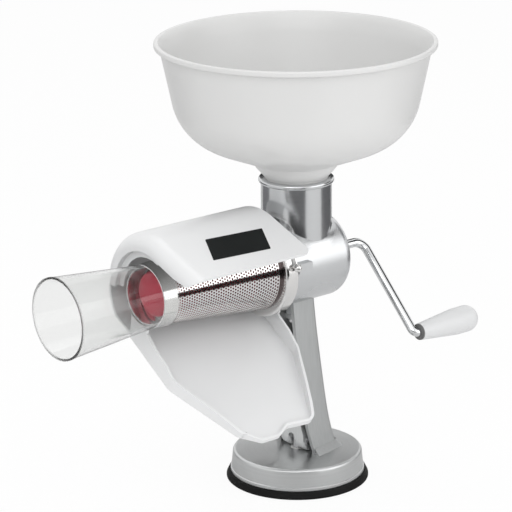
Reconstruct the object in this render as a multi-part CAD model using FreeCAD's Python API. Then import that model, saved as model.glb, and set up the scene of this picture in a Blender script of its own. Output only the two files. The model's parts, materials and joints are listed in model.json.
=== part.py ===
import FreeCAD, Part
import math
import os
from FreeCAD import Vector

# A hand cranked tomato strainer on a suction base, in millimetres. +Z is up, the base
# stands on z = 0 round the origin, the crank is towards +X, the waste outlet towards -X
# and the juice runs off towards -Y.

# Clearances
RUNNING = 0.05
SOFT_GAP = 0.3
SLIP = 0.4
TOUCH = 0.02

# How far a cutting tool runs past the face it cuts, and edge roundings that many pieces share
PAST = 1.0
SMALL_EDGE_R = 0.4
EDGE_R = 0.8
SOFT_EDGE_R = 1.0

# Suction cup
CUP_R = 62.6
CUP_LIP_TOP_R = 60.4
CUP_LIP_H = 1.6
CUP_H = 6.0
CUP_SKIN = 3.2
CUP_LEDGE_R = 49.0
CUP_BOSS_R = 15.0
CUP_BOSS_H = 9.0
CUP_LEDGE_SLOPE = 2.0
CUP_BOSS_SLOPE = 3.0

# Base dish
DISH_R = 59.0
DISH_TOP_R = 56.7
DISH_TOP_Z = 25.4
DISH_WALL = 2.8
DISH_TOP_WALL = 3.4
DISH_BEAD = 3.0
DISH_BEAD_STEP = 0.5
DISH_CORNER_R = 3.0
DISH_INNER_CORNER_R = 1.5
DISH_STEM_HOLE_R = 6.0

# Suction stem, its guide bush and the cam lever
STEM_R = 3.5
STEM_PLATE_R = 10.0
STEM_PLATE_H = 2.0
STEM_PLATE_Z = 4.2
STEM_BUSH_FLANGE_R = 7.5
STEM_BUSH_FLANGE_H = 1.2
LEVER_PIN_R = 2.0
LEVER_PIN_Z = 35.2
LEVER_PIN_CLIP_R = 3.4
LEVER_PIN_CLIP_H = 0.8
LEVER_LOBE_R = 9.5
LEVER_CAM_OFFSET = 2.6
LEVER_SLOT = 8.2
LEVER_FOOT_WIDTH = 31.0
LEVER_TOP_WIDTH = 17.0
LEVER_TOP_Z = 118.0
LEVER_THICK = 5.0
LEVER_FRONT_X = -6.8
LEVER_SHOULDER_UP = 6.0
LEVER_NECK_UP = 26.0
LEVER_WEB_BACK_X = 5.6
LEVER_PIN_END = 0.6
LEVER_CLIP_GAP = 0.1
LEVER_SLOT_OVER = 1.6
LEVER_SHOULDER_R = 4.0
LEVER_NECK_R = 10.0
LEVER_TOP_R = 6.0
LEVER_LEG_EDGE_R = 2.6

# Column: a channel open towards -X, given by its outline at five heights as
# (height, front edge x, half width at the front, back x, half width at the back, corner radius)
COLUMN_WALL = 4.0
COLUMN_SECTIONS = (
    (25.4, -1.0, 26.2, 32.2, 19.4, 6.0),
    (36.0, -3.4, 24.0, 28.2, 18.6, 5.8),
    (54.0, -6.4, 21.0, 23.8, 17.6, 5.4),
    (90.0, -10.2, 17.4, 18.6, 16.0, 5.0),
    (138.0, -13.6, 14.6, 12.8, 14.0, 4.4),
    (172.0, -15.6, 13.0, 9.8, 13.0, 4.0),
)
COLUMN_PLATE_DROP = 18.4
COLUMN_PLATE_H = 4.0
COLUMN_PLATE_FRONT_X = -5.0
COLUMN_FOOT_H = 5.0
COLUMN_FOOT_FRONT_X = 13.0
COLUMN_INNER_CORNER_R = 0.8
COLUMN_PLATE_OVERLAP = 1.0
COLUMN_FLARE = 4.6
COLUMN_FLARE_H = 5.4

# Barrel and inlet tube
AXIS_Z = 200.0
BARREL_R = 37.6
BARREL_WALL = 3.8
COLUMN_PLATE_Z = AXIS_Z - BARREL_R - COLUMN_PLATE_DROP
BARREL_FRONT_X = -41.0
BARREL_BACK_X = 34.4
BARREL_BACK_WALL = 7.0
BARREL_BACK_ROUND = 10.0
BARREL_BOSS_R = 14.0
BARREL_BOSS_H = 3.5
TUBE_R = 30.4
TUBE_WALL = 2.4
TUBE_TOP_Z = 273.0
TUBE_BEAD_R = 32.5
TUBE_BEAD_H = 4.6
TENON_HALF_WIDTH = 8.0
TENON_FRONT_X = -5.0
TENON_BACK_X = 5.0
TENON_SINK = 5.0
BARREL_BOSS_SLOPE = 3.0
BARREL_BOSS_EDGE_R = 1.5
BORE_BACK_ROUND = 6.0
TUBE_BEAD_EDGE_R = 2.0

# Bayonet lugs and studs at the front of the barrel
LUG_FRONT_X = -33.6
LUG_BACK_X = -19.0
LUG_LOW_Z = 201.8
LUG_HIGH_Z = 210.4
LUG_HEIGHT = 5.4
LUG_OUT_Y = BARREL_R + LUG_HEIGHT
STUD_X = -38.0
STUD_ANGLE = 78.8
STUD_R = 2.0
STUD_BALL_R = 3.7
STUD_SINK = 3.2
STUD_ROOT = BARREL_R - STUD_SINK
STUD_STANDOFF = 8.8
STUD_BALL_OUT = BARREL_R + STUD_STANDOFF

# Screws
SCREW_R = 2.4
SCREW_HEAD_R = 4.2
SCREW_HEAD_H = 3.0
SCREW_SOCKET_R = 1.6
SCREW_SOCKET_DEPTH = 1.8
BASE_SCREWS = ((19.0, -10.0), (19.0, 10.0), (26.0, 0.0))
BASE_SCREW_LENGTH = 7.0
SADDLE_SCREW_Y = 4.6
SADDLE_SCREW_X = 0.0
SADDLE_SCREW_LENGTH = 12.0
SADDLE_SCREW_TIP_ROOM = 0.5

# Strainer screen, its flange and end collar
FLANGE_WALL = 4.6
FLANGE_R = BARREL_R + SOFT_GAP + FLANGE_WALL
FLANGE_BACK_X = -34.0
FLANGE_FRONT_X = -46.6
FLANGE_FACE = 2.4
FLANGE_EDGE_R = 2.2
GASKET_IN_R = BARREL_R - BARREL_WALL + SLIP
SCREEN_INSET = 1.65
SCREEN_R = BARREL_R - SCREEN_INSET
SCREEN_END_R = 25.0
SCREEN_END_X = -165.0
SCREEN_WALL = 0.8
COLLAR_LENGTH = 13.0
COLLAR_WALL = 0.7
SLOT_GAP = 0.4
TWIST = 15.0

# Clear waste funnel
FUNNEL_MOUTH_X = -254.9
FUNNEL_MOUTH_R = 34.5
FUNNEL_SLEEVE_R = 28.0
FUNNEL_SLEEVE_X = -151.2
FUNNEL_SHOULDER_X = -168.0
FUNNEL_WALL = 1.4
FUNNEL_SLEEVE_WALL = 1.0
FUNNEL_INNER_STEP = 0.9
FUNNEL_LIP = 0.3
FUNNEL_LIP_LENGTH = 2.0
FUNNEL_LIP_SLOPE = 0.4
FUNNEL_ROOM = 1.0

# Radii that nest round the flange: the chute's floor, the chute's apron and the squirt guard
CHUTE_WALL = 2.2
CHUTE_FLOOR_GAP = 2.0
CHUTE_FLOOR_STEP = 3.9
GUARD_WALL = 2.5
CHUTE_UNDERSIDE = FLANGE_R + CHUTE_FLOOR_GAP + CHUTE_WALL
CHUTE_APRON_R = CHUTE_UNDERSIDE + CHUTE_FLOOR_STEP
GUARD_R = CHUTE_APRON_R + SLIP + GUARD_WALL

# Squirt guard over the screen
GUARD_SLOPE = 20.9
GUARD_LENGTH_FORWARD = 55.0
GUARD_BACK_X = -44.0
GUARD_END_X = -168.0
GUARD_DROP = 5.0
GUARD_CORNER_R = 12.0
GUARD_HOLE_GAP = 4.8
GUARD_LEDGE = 5.7
GUARD_RECESS_DEPTH = 5.0
GUARD_HOLE_R = FUNNEL_SLEEVE_R + GUARD_HOLE_GAP
GUARD_RECESS_R = GUARD_HOLE_R + GUARD_LEDGE
GUARD_END_FLAT = 3.0
GUARD_RIB = 2.5
GUARD_RIB_SINK = 0.5
GUARD_FRONT_CORNER_R = 7.0
GUARD_SKIRT_STEP = 2.5
GUARD_SKIRT_ROOT_DOWN = 18.1
GUARD_SKIRT_TIP_FORWARD = 46.3
GUARD_SKIRT_TIP_DOWN = 12.3
GUARD_SKIRT_TIP_R = 5.0

# Juice chute under the screen
CHUTE_SLOPE = 33.3
CHUTE_LEFT_X = -165.0
CHUTE_RIGHT_X = -28.6
CHUTE_BEND_S = 65.0
CHUTE_FRONT_LEFT_S = 130.0
CHUTE_FRONT_LEFT_X = -133.5
CHUTE_FRONT_RIGHT_S = 135.0
CHUTE_FRONT_RIGHT_X = -57.0
CHUTE_FRONT_R = 10.0
CHUTE_SPOUT_S = 139.5
CHUTE_SPOUT_X = -108.0
CHUTE_SPOUT_HALF = 9.0
CHUTE_SPOUT_ROOT_HALF = 22.0
CHUTE_SPOUT_R = 6.0
CHUTE_SIDE_R = 14.0
CHUTE_RIM = ((-30.0, 48.0), (9.0, 48.0), (18.0, 20.0), (34.0, 16.6), (50.0, 15.6),
             (62.0, 12.4), (95.0, 10.4), (120.0, 8.0), (134.0, 4.6), (148.0, 2.2))
CHUTE_DEEP = 60.0
CHUTE_APRON_TOP = 2.0
CHUTE_END_WALL_BACK_Y = 20.0
CHUTE_RIB_X = -42.0

# Crank: one bent rod
ROD_R = 4.0
CRANK_ARM_X = 75.6
CRANK_GRIP_Y = -68.5
CRANK_GRIP_Z = 131.4
CRANK_TOP_BEND_R = 10.0
CRANK_GRIP_BEND_R = 5.0
ROD_INNER_X = -12.0
ROD_OUTER_X = 138.0

# Grip
GRIP_START_X = 81.8
GRIP_END_X = 148.0
GRIP_SMALL_R = 7.4
GRIP_BIG_R = 11.8
GRIP_BELLY_X = 124.0
GRIP_BELLY_R = 60.0
GRIP_END_R = 11.0
GRIP_WASHER_H = 1.0
GRIP_WASHER_R = 7.2
GRIP_BLIND = 2.0

# Auger, its bearing and its spring
AUGER_FRONT_X = -158.0
AUGER_BACK_X = 2.0
AUGER_CORE_R = 10.0
AUGER_CORE_FRONT_R = 19.6
AUGER_NOSE_R = 2.0
AUGER_FLIGHT = 3.4
AUGER_FLIGHT_TIP = 2.0
AUGER_FLIGHT_SINK = 3.0
AUGER_PITCH = 30.0
AUGER_BORE_DEPTH = 14.0
AUGER_BARREL_GAP = 0.6
AUGER_SCREEN_GAP = 1.0
AUGER_TAPER_LEAD = 4.0
AUGER_PIN_ROOM = 0.6
DRIVE_PIN_SHORT = 0.4
THRUST_GAP = 0.1
DRIVE_PIN_R = 1.5
DRIVE_PIN_X = -5.0
BUSH_R = 8.0
BUSH_FLANGE_R = 10.5
BUSH_FLANGE_H = 2.0
SPRING_R = 7.0
SPRING_WIRE_R = 1.0
SPRING_TURNS = 5
THRUST_WASHER_R = 10.0
THRUST_WASHER_H = 1.6

# Hopper: a lip, a steep wall, a big rounding, a flat floor and a neck
HOPPER_RIM_Z = 392.0
HOPPER_RIM_R = 120.0
HOPPER_LIP_H = 4.2
HOPPER_LIP_W = 3.6
HOPPER_LIP_EDGE_R = 1.2
HOPPER_WALL = 2.6
HOPPER_SHOULDER_R = 115.2
HOPPER_SHOULDER_Z = 386.4
HOPPER_TURN_R = 99.5
HOPPER_TURN_Z = 311.5
HOPPER_TURN_BEND_R = 52.0
HOPPER_THROAT_R = 38.0
HOPPER_THROAT_Z = 287.2
HOPPER_THROAT_BEND_R = 4.0
NECK_TOP_R = 33.6
NECK_TOP_Z = 281.0
NECK_BEAD_Z = 274.0
NECK_GAP = 0.5
NECK_BOTTOM_Z = 240.0
NECK_BOTTOM_R = 27.0
NECK_WALL = 2.0


def place_about_x(a, b):
    """A profile point (x, radius) in the plane above the barrel axis."""
    return Vector(a, 0, AXIS_Z + b)


def place_about_z(a, b):
    """A profile point (radius, height) in the plane of the vertical axis."""
    return Vector(a, 0, b)


def outline(corners, place):
    """A closed wire through (a, b, rounding) corners; rounding may be left out."""
    stops = []
    for index, corner in enumerate(corners):
        here = Vector(corner[0], corner[1], 0)
        rounding = corner[2] if len(corner) > 2 else 0
        if not rounding:
            stops.append((here, here, here))
            continue
        before = Vector(corners[index - 1][0], corners[index - 1][1], 0)
        after = corners[(index + 1) % len(corners)]
        back = (before - here).normalize()
        ahead = (Vector(after[0], after[1], 0) - here).normalize()
        half = back.getAngle(ahead) / 2
        inward = (back + ahead).normalize()
        reach = rounding / math.tan(half)
        middle = here + inward * (rounding / math.sin(half) - rounding)
        stops.append((here + back * reach, middle, here + ahead * reach))
    edges = []
    for index, (start, middle, stop) in enumerate(stops):
        following = stops[(index + 1) % len(stops)][0]
        if (stop - start).Length > 1e-6:
            arc = Part.Arc(place(start.x, start.y), place(middle.x, middle.y), place(stop.x, stop.y))
            edges.append(arc.toShape())
        if (following - stop).Length > 1e-6:
            edges.append(Part.makeLine(place(stop.x, stop.y), place(following.x, following.y)))
    return Part.Wire(edges)


def turned_x(corners, start=0.0, sweep=360.0):
    """A solid turned about the barrel axis; angles run from straight up, towards -Y."""
    face = Part.Face(outline(corners, place_about_x))
    axis_point = Vector(0, 0, AXIS_Z)
    face.rotate(axis_point, Vector(1, 0, 0), start)
    return face.revolve(axis_point, Vector(1, 0, 0), sweep)


def turned_z(corners):
    """A solid turned about the vertical axis."""
    face = Part.Face(outline(corners, place_about_z))
    return face.revolve(Vector(0, 0, 0), Vector(0, 0, 1), 360)


def block(x_low, x_high, y_low, y_high, z_low, z_high):
    """A box between two corners."""
    return Part.makeBox(x_high - x_low, y_high - y_low, z_high - z_low, Vector(x_low, y_low, z_low))


def rod_x(radius, x_low, x_high, y=0.0, z=AXIS_Z):
    """A round rod along X."""
    return Part.makeCylinder(radius, x_high - x_low, Vector(x_low, y, z), Vector(1, 0, 0))


def rod_y(radius, y_low, y_high, x, z):
    """A round rod along Y."""
    return Part.makeCylinder(radius, y_high - y_low, Vector(x, y_low, z), Vector(0, 1, 0))


def rod_z(radius, z_low, z_high, x=0.0, y=0.0):
    """A round rod along Z."""
    return Part.makeCylinder(radius, z_high - z_low, Vector(x, y, z_low))


def rod_out(radius, low, high, x, angle):
    """A round rod out from the barrel axis, at an angle from straight up towards -Y."""
    rod = rod_z(radius, AXIS_Z + low, AXIS_Z + high, x)
    rod.rotate(Vector(x, 0, AXIS_Z), Vector(1, 0, 0), angle)
    return rod


def screen_radius(x):
    """Outer radius of the tapered screen at x."""
    share = (x - FLANGE_FRONT_X) / (SCREEN_END_X - FLANGE_FRONT_X)
    return SCREEN_R + share * (SCREEN_END_R - SCREEN_R)


def make_suction_cup():
    """A rubber disc with a raised ledge under the dish and a boss round the stem's plate."""
    plate_top = STEM_PLATE_Z + STEM_PLATE_H
    cup = turned_z((
        (0, 0), (CUP_R, 0, SMALL_EDGE_R), (CUP_R, CUP_LIP_H, SOFT_EDGE_R), (CUP_LIP_TOP_R, CUP_H),
        (CUP_LEDGE_R, CUP_H, EDGE_R), (CUP_LEDGE_R - CUP_LEDGE_SLOPE, CUP_SKIN),
        (CUP_BOSS_R + CUP_BOSS_SLOPE, CUP_SKIN), (CUP_BOSS_R, CUP_BOSS_H, SOFT_EDGE_R), (0, CUP_BOSS_H)))
    plate_room = rod_z(STEM_PLATE_R + SOFT_GAP, STEM_PLATE_Z - SOFT_GAP, plate_top + SOFT_GAP)
    stem_room = rod_z(STEM_R + SOFT_GAP, plate_top, CUP_BOSS_H + PAST)
    return cup.cut(plate_room).cut(stem_room)


def screw_up(x, y, seat_z, length):
    """A socket cap screw that points up, with its head under seat_z."""
    head = rod_z(SCREW_HEAD_R, seat_z - SCREW_HEAD_H, seat_z, x, y)
    socket = rod_z(SCREW_SOCKET_R, seat_z - SCREW_HEAD_H, seat_z - SCREW_HEAD_H + SCREW_SOCKET_DEPTH, x, y)
    shank = rod_z(SCREW_R, seat_z, seat_z + length, x, y)
    return head.cut(socket).fuse(shank)


def screw_room(x, y, z_low, z_high):
    """The hole for a screw's shank."""
    return rod_z(SCREW_R + RUNNING, z_low, z_high, x, y)


def make_base_dish():
    """A shallow upturned dish with a thicker bead round its foot."""
    slope = (DISH_R - DISH_TOP_R) / (DISH_TOP_Z - CUP_H)
    bead_top = CUP_H + DISH_BEAD
    dish = turned_z((
        (DISH_R, CUP_H, SMALL_EDGE_R), (DISH_R, bead_top, SMALL_EDGE_R),
        (DISH_R - DISH_BEAD_STEP - DISH_BEAD * slope, bead_top + DISH_BEAD_STEP),
        (DISH_TOP_R, DISH_TOP_Z, DISH_CORNER_R), (DISH_STEM_HOLE_R, DISH_TOP_Z),
        (DISH_STEM_HOLE_R, DISH_TOP_Z - DISH_TOP_WALL),
        (DISH_TOP_R - DISH_WALL, DISH_TOP_Z - DISH_TOP_WALL, DISH_INNER_CORNER_R),
        (DISH_R - DISH_WALL, CUP_H)))
    for x, y in BASE_SCREWS:
        dish = dish.cut(screw_room(x, y, 0, DISH_TOP_Z + PAST))
    return dish


def make_base_screws():
    """Three screws up through the dish into the column's foot."""
    seat = DISH_TOP_Z - DISH_TOP_WALL
    screws = [screw_up(x, y, seat, BASE_SCREW_LENGTH) for x, y in BASE_SCREWS]
    return Part.makeCompound(screws)


def make_stem_bush():
    """A flanged guide bush for the stem, under the dish's top."""
    low = DISH_TOP_Z - DISH_TOP_WALL
    bush = rod_z(DISH_STEM_HOLE_R - TOUCH, low, DISH_TOP_Z)
    flange = rod_z(STEM_BUSH_FLANGE_R, low - STEM_BUSH_FLANGE_H, low)
    bore = rod_z(STEM_R + RUNNING, low - STEM_BUSH_FLANGE_H - PAST, DISH_TOP_Z + PAST)
    return bush.fuse(flange).cut(bore)


def make_suction_stem():
    """The pull rod: a plate in the cup's boss, a rod and an eye for the lever's pin."""
    plate = rod_z(STEM_PLATE_R, STEM_PLATE_Z, STEM_PLATE_Z + STEM_PLATE_H)
    rod = rod_z(STEM_R, STEM_PLATE_Z + STEM_PLATE_H, LEVER_PIN_Z)
    eye = Part.makeSphere(STEM_R, Vector(0, 0, LEVER_PIN_Z))
    pin_room = rod_y(LEVER_PIN_R + TOUCH, -STEM_R - PAST, STEM_R + PAST, 0, LEVER_PIN_Z)
    return plate.fuse(rod).fuse(eye).cut(pin_room)


def make_lever_pin():
    """The cross pin of the cam lever, long enough for a clip on each side."""
    half = LEVER_FOOT_WIDTH / 2 + LEVER_PIN_CLIP_H + LEVER_PIN_END
    return rod_y(LEVER_PIN_R, -half, half, 0, LEVER_PIN_Z)


def make_lever_clips():
    """Two push-on rings that keep the pin in the lever."""
    near = LEVER_FOOT_WIDTH / 2 + LEVER_CLIP_GAP
    far = near + LEVER_PIN_CLIP_H
    rings = []
    for low, high in ((-far, -near), (near, far)):
        ring = rod_y(LEVER_PIN_CLIP_R, low, high, 0, LEVER_PIN_Z)
        rings.append(ring.cut(rod_y(LEVER_PIN_R + TOUCH, low - PAST, high + PAST, 0, LEVER_PIN_Z)))
    return Part.makeCompound(rings)


def make_cam_lever():
    """The forked lever: two cam lobes that straddle the stem and a flat handle above."""
    half_foot = LEVER_FOOT_WIDTH / 2
    half_top = LEVER_TOP_WIDTH / 2
    shoulder_z = LEVER_PIN_Z + LEVER_SHOULDER_UP
    neck_z = LEVER_PIN_Z + LEVER_NECK_UP
    lobes = []
    for low, high in ((-half_foot, -LEVER_SLOT / 2), (LEVER_SLOT / 2, half_foot)):
        lobe = rod_y(LEVER_LOBE_R, low, high, LEVER_CAM_OFFSET, LEVER_PIN_Z)
        rims = [edge for edge in lobe.Edges if edge.Closed]
        lobes.append(lobe.makeFillet(LEVER_LEG_EDGE_R, rims))

    def handle_place(a, b):
        return Vector(LEVER_FRONT_X, a, b)

    handle_face = Part.Face(outline((
        (-half_foot, LEVER_PIN_Z), (half_foot, LEVER_PIN_Z), (half_foot, shoulder_z, LEVER_SHOULDER_R),
        (half_top, neck_z, LEVER_NECK_R), (half_top, LEVER_TOP_Z, LEVER_TOP_R),
        (-half_top, LEVER_TOP_Z, LEVER_TOP_R), (-half_top, neck_z, LEVER_NECK_R),
        (-half_foot, shoulder_z, LEVER_SHOULDER_R)), handle_place))
    handle = handle_face.extrude(Vector(LEVER_THICK, 0, 0))
    web = block(LEVER_FRONT_X + LEVER_THICK - PAST, LEVER_WEB_BACK_X, -half_foot, half_foot,
                LEVER_PIN_Z, shoulder_z)
    lever = handle.fuse(web).fuse(lobes[0]).fuse(lobes[1])
    half_slot = LEVER_SLOT / 2
    slot_top = LEVER_PIN_Z + STEM_R + LEVER_SLOT_OVER - half_slot
    reach = LEVER_FOOT_WIDTH
    slot = block(-reach, reach, -half_slot, half_slot, 0, slot_top)
    arch = rod_x(half_slot, -reach, reach, 0, slot_top)
    pin_room = rod_y(LEVER_PIN_R + RUNNING, -half_foot - PAST, half_foot + PAST, 0, LEVER_PIN_Z)
    return lever.cut(slot).cut(arch).cut(pin_room).removeSplitter()


def column_wire(section, wall):
    """The channel's outline at one height, from front edge round the back to front edge."""
    z, front_x, front_half, back_x, back_half, corner = section
    inner_corner = max(corner - wall, COLUMN_INNER_CORNER_R)
    corners = (
        (front_x, -front_half), (back_x, -back_half, corner), (back_x, back_half, corner),
        (front_x, front_half), (front_x, front_half - wall),
        (back_x - wall, back_half - wall, inner_corner),
        (back_x - wall, -back_half + wall, inner_corner),
        (front_x, -front_half + wall))

    def place(a, b):
        return Vector(a, b, z)

    return outline(corners, place)


def column_core_wire(section, inset, lift=0.0, front_inset=None):
    """The column's outline at one height without its hollow, moved in by inset and up by lift."""
    z, front_x, front_half, back_x, back_half, corner = section
    front = front_x + (inset if front_inset is None else front_inset)

    def place(a, b):
        return Vector(a, b, z + lift)

    return outline((
        (front, -front_half + inset), (back_x - inset, -back_half + inset, corner - inset),
        (back_x - inset, back_half - inset, corner - inset), (front, front_half - inset)),
        place)


def make_column_flare():
    """The skirt that spreads the column's foot over the dish, open at the front as the channel is."""
    foot = COLUMN_SECTIONS[0]
    skirt = Part.makeLoft([column_core_wire(foot, -COLUMN_FLARE, 0.0, 0.0),
                           column_core_wire(foot, COLUMN_PLATE_OVERLAP, COLUMN_FLARE_H, 0.0)], True, True)
    hollow = Part.makeLoft([column_core_wire(foot, COLUMN_PLATE_OVERLAP, -PAST, -DISH_R),
                            column_core_wire(foot, COLUMN_PLATE_OVERLAP, COLUMN_FLARE_H + PAST, -DISH_R)],
                           True, True)
    return skirt.cut(hollow)


def make_column():
    """The cast column: a channel that widens to its foot, with a plate near its top."""
    column = Part.makeLoft([column_wire(section, COLUMN_WALL) for section in COLUMN_SECTIONS], True)
    core = Part.makeLoft(
        [column_core_wire(section, COLUMN_PLATE_OVERLAP) for section in COLUMN_SECTIONS], True)
    beyond = DISH_R
    plate = core.common(block(COLUMN_PLATE_FRONT_X, beyond, -beyond, beyond, COLUMN_PLATE_Z,
                              COLUMN_PLATE_Z + COLUMN_PLATE_H))
    foot = core.common(block(COLUMN_FOOT_FRONT_X, beyond, -beyond, beyond, DISH_TOP_Z,
                             DISH_TOP_Z + COLUMN_FOOT_H))
    column = column.fuse(plate).fuse(foot).fuse(make_column_flare())
    column = column.cut(rod_x(BARREL_R + TOUCH, -beyond, beyond))
    for x, y in BASE_SCREWS:
        column = column.cut(screw_room(x, y, 0, DISH_TOP_Z + BASE_SCREW_LENGTH))
    for side in (-1, 1):
        column = column.cut(screw_room(SADDLE_SCREW_X, side * SADDLE_SCREW_Y, COLUMN_PLATE_Z - PAST,
                                       COLUMN_PLATE_Z + COLUMN_PLATE_H + PAST))
    return column.removeSplitter()


def make_saddle_screws():
    """Two screws up through the column's plate into the barrel's tenon."""
    screws = [screw_up(SADDLE_SCREW_X, side * SADDLE_SCREW_Y, COLUMN_PLATE_Z, SADDLE_SCREW_LENGTH)
              for side in (-1, 1)]
    return Part.makeCompound(screws)


def make_barrel_body():
    """The cast barrel with its rear wall, inlet tube, bayonet lugs and mounting tenon."""
    barrel = turned_x((
        (BARREL_FRONT_X, 0), (BARREL_FRONT_X, BARREL_R, EDGE_R),
        (BARREL_BACK_X, BARREL_R, BARREL_BACK_ROUND),
        (BARREL_BACK_X, BARREL_BOSS_R + BARREL_BOSS_SLOPE),
        (BARREL_BACK_X + BARREL_BOSS_H, BARREL_BOSS_R, BARREL_BOSS_EDGE_R),
        (BARREL_BACK_X + BARREL_BOSS_H, 0)))
    tube = rod_z(TUBE_R, AXIS_Z, TUBE_TOP_Z)
    bead_low = TUBE_TOP_Z - TUBE_BEAD_H
    bead = turned_z((
        (TUBE_R - TUBE_WALL / 2, bead_low), (TUBE_BEAD_R, bead_low, TUBE_BEAD_EDGE_R),
        (TUBE_BEAD_R, TUBE_TOP_Z, TUBE_BEAD_EDGE_R), (TUBE_R - TUBE_WALL / 2, TUBE_TOP_Z)))
    body = barrel.fuse(tube)
    plate_top = COLUMN_PLATE_Z + COLUMN_PLATE_H
    tenon = block(TENON_FRONT_X, TENON_BACK_X, -TENON_HALF_WIDTH, TENON_HALF_WIDTH, plate_top,
                  AXIS_Z - BARREL_R + TENON_SINK)
    body = body.fuse(bead).fuse(tenon)
    for side in (-1, 1):
        inner = side * (BARREL_R - BARREL_WALL)
        outer = side * LUG_OUT_Y
        lug = block(LUG_FRONT_X, LUG_BACK_X, min(inner, outer), max(inner, outer), LUG_LOW_Z, LUG_HIGH_Z)
        body = body.fuse(lug)
    bore_back = BARREL_BACK_X - BARREL_BACK_WALL
    bore_r = BARREL_R - BARREL_WALL
    bore = turned_x(((BARREL_FRONT_X - PAST, 0), (BARREL_FRONT_X - PAST, bore_r),
                     (bore_back, bore_r, BORE_BACK_ROUND), (bore_back, 0)))
    body = body.cut(bore)
    body = body.cut(rod_z(TUBE_R - TUBE_WALL, AXIS_Z, TUBE_TOP_Z + PAST))
    body = body.cut(rod_x(BUSH_R, 0, BARREL_BACK_X + BARREL_BOSS_H + PAST))
    for side in (-1, 1):
        body = body.cut(rod_out(STUD_R + TOUCH, STUD_ROOT, STUD_BALL_OUT, STUD_X, side * STUD_ANGLE))
        body = body.cut(screw_room(SADDLE_SCREW_X, side * SADDLE_SCREW_Y, 0,
                                   COLUMN_PLATE_Z + SADDLE_SCREW_LENGTH + SADDLE_SCREW_TIP_ROOM))
    return body.removeSplitter()


def make_shaft_bushing():
    """The white flanged bushing that carries the crank in the barrel's rear wall."""
    inner_x = BARREL_BACK_X - BARREL_BACK_WALL
    outer_x = BARREL_BACK_X + BARREL_BOSS_H
    sleeve = rod_x(BUSH_R - TOUCH, inner_x, outer_x)
    flange_x = outer_x + BUSH_FLANGE_H
    flange = turned_x(((outer_x, 0), (outer_x, BUSH_FLANGE_R), (flange_x, BUSH_FLANGE_R, EDGE_R),
                       (flange_x, 0)))
    return sleeve.fuse(flange).cut(rod_x(ROD_R + RUNNING, 0, flange_x + PAST))


def make_bayonet_studs():
    """Two ball headed studs, screwed into the barrel, that hold the flange's slots."""
    studs = []
    for side in (-1, 1):
        shank = rod_out(STUD_R, STUD_ROOT, STUD_BALL_OUT, STUD_X, side * STUD_ANGLE)
        ball = Part.makeSphere(STUD_BALL_R, Vector(STUD_X, 0, AXIS_Z + STUD_BALL_OUT))
        ball.rotate(Vector(STUD_X, 0, AXIS_Z), Vector(1, 0, 0), side * STUD_ANGLE)
        studs.append(shank.fuse(ball))
    return Part.makeCompound(studs)


def make_screen_flange():
    """The polished ring that carries the screen and twists on to the studs."""
    inner = BARREL_R + SOFT_GAP
    seat = SCREEN_R + TOUCH
    face_back_x = FLANGE_FRONT_X + FLANGE_FACE
    ring = turned_x((
        (FLANGE_BACK_X, inner), (FLANGE_BACK_X, FLANGE_R, EDGE_R), (FLANGE_FRONT_X, FLANGE_R, FLANGE_EDGE_R),
        (FLANGE_FRONT_X, seat), (face_back_x, seat), (face_back_x, inner)))
    half = STUD_R + SLOT_GAP
    half_angle = math.degrees(half / FLANGE_R)
    slot_low = inner - PAST
    slot_high = FLANGE_R + PAST
    for side in (-1, 1):
        run = turned_x((
            (STUD_X - half, slot_low), (STUD_X - half, slot_high),
            (STUD_X + half, slot_high), (STUD_X + half, slot_low)),
            side * STUD_ANGLE - TWIST - half_angle, TWIST + 2 * half_angle)
        entry = turned_x((
            (STUD_X, slot_low), (STUD_X, slot_high),
            (FLANGE_BACK_X + PAST, slot_high), (FLANGE_BACK_X + PAST, slot_low)),
            side * STUD_ANGLE - TWIST - half_angle, 2 * half_angle)
        ring = ring.cut(run).cut(entry)
    return ring


def make_flange_gasket():
    """The rubber ring between the barrel's front face and the flange."""
    front = FLANGE_FRONT_X + FLANGE_FACE
    ring = rod_x(BARREL_R - SOFT_GAP, front, BARREL_FRONT_X)
    return ring.cut(rod_x(GASKET_IN_R, front - PAST, BARREL_FRONT_X + PAST))


def make_strainer_screen():
    """The tapered tube of perforated sheet, as a plain wall."""
    start_x = FLANGE_FRONT_X + FLANGE_FACE
    return turned_x((
        (start_x, SCREEN_R - SCREEN_WALL), (start_x, SCREEN_R), (FLANGE_FRONT_X, SCREEN_R),
        (SCREEN_END_X, SCREEN_END_R), (SCREEN_END_X, SCREEN_END_R - SCREEN_WALL),
        (FLANGE_FRONT_X, SCREEN_R - SCREEN_WALL)))


def make_screen_end_collar():
    """The plain band pressed round the small end of the screen."""
    back_x = SCREEN_END_X + COLLAR_LENGTH
    back_r = screen_radius(back_x)
    return turned_x((
        (back_x, back_r + RUNNING), (back_x, back_r + COLLAR_WALL),
        (SCREEN_END_X, SCREEN_END_R + COLLAR_WALL), (SCREEN_END_X, SCREEN_END_R + RUNNING)))


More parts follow.
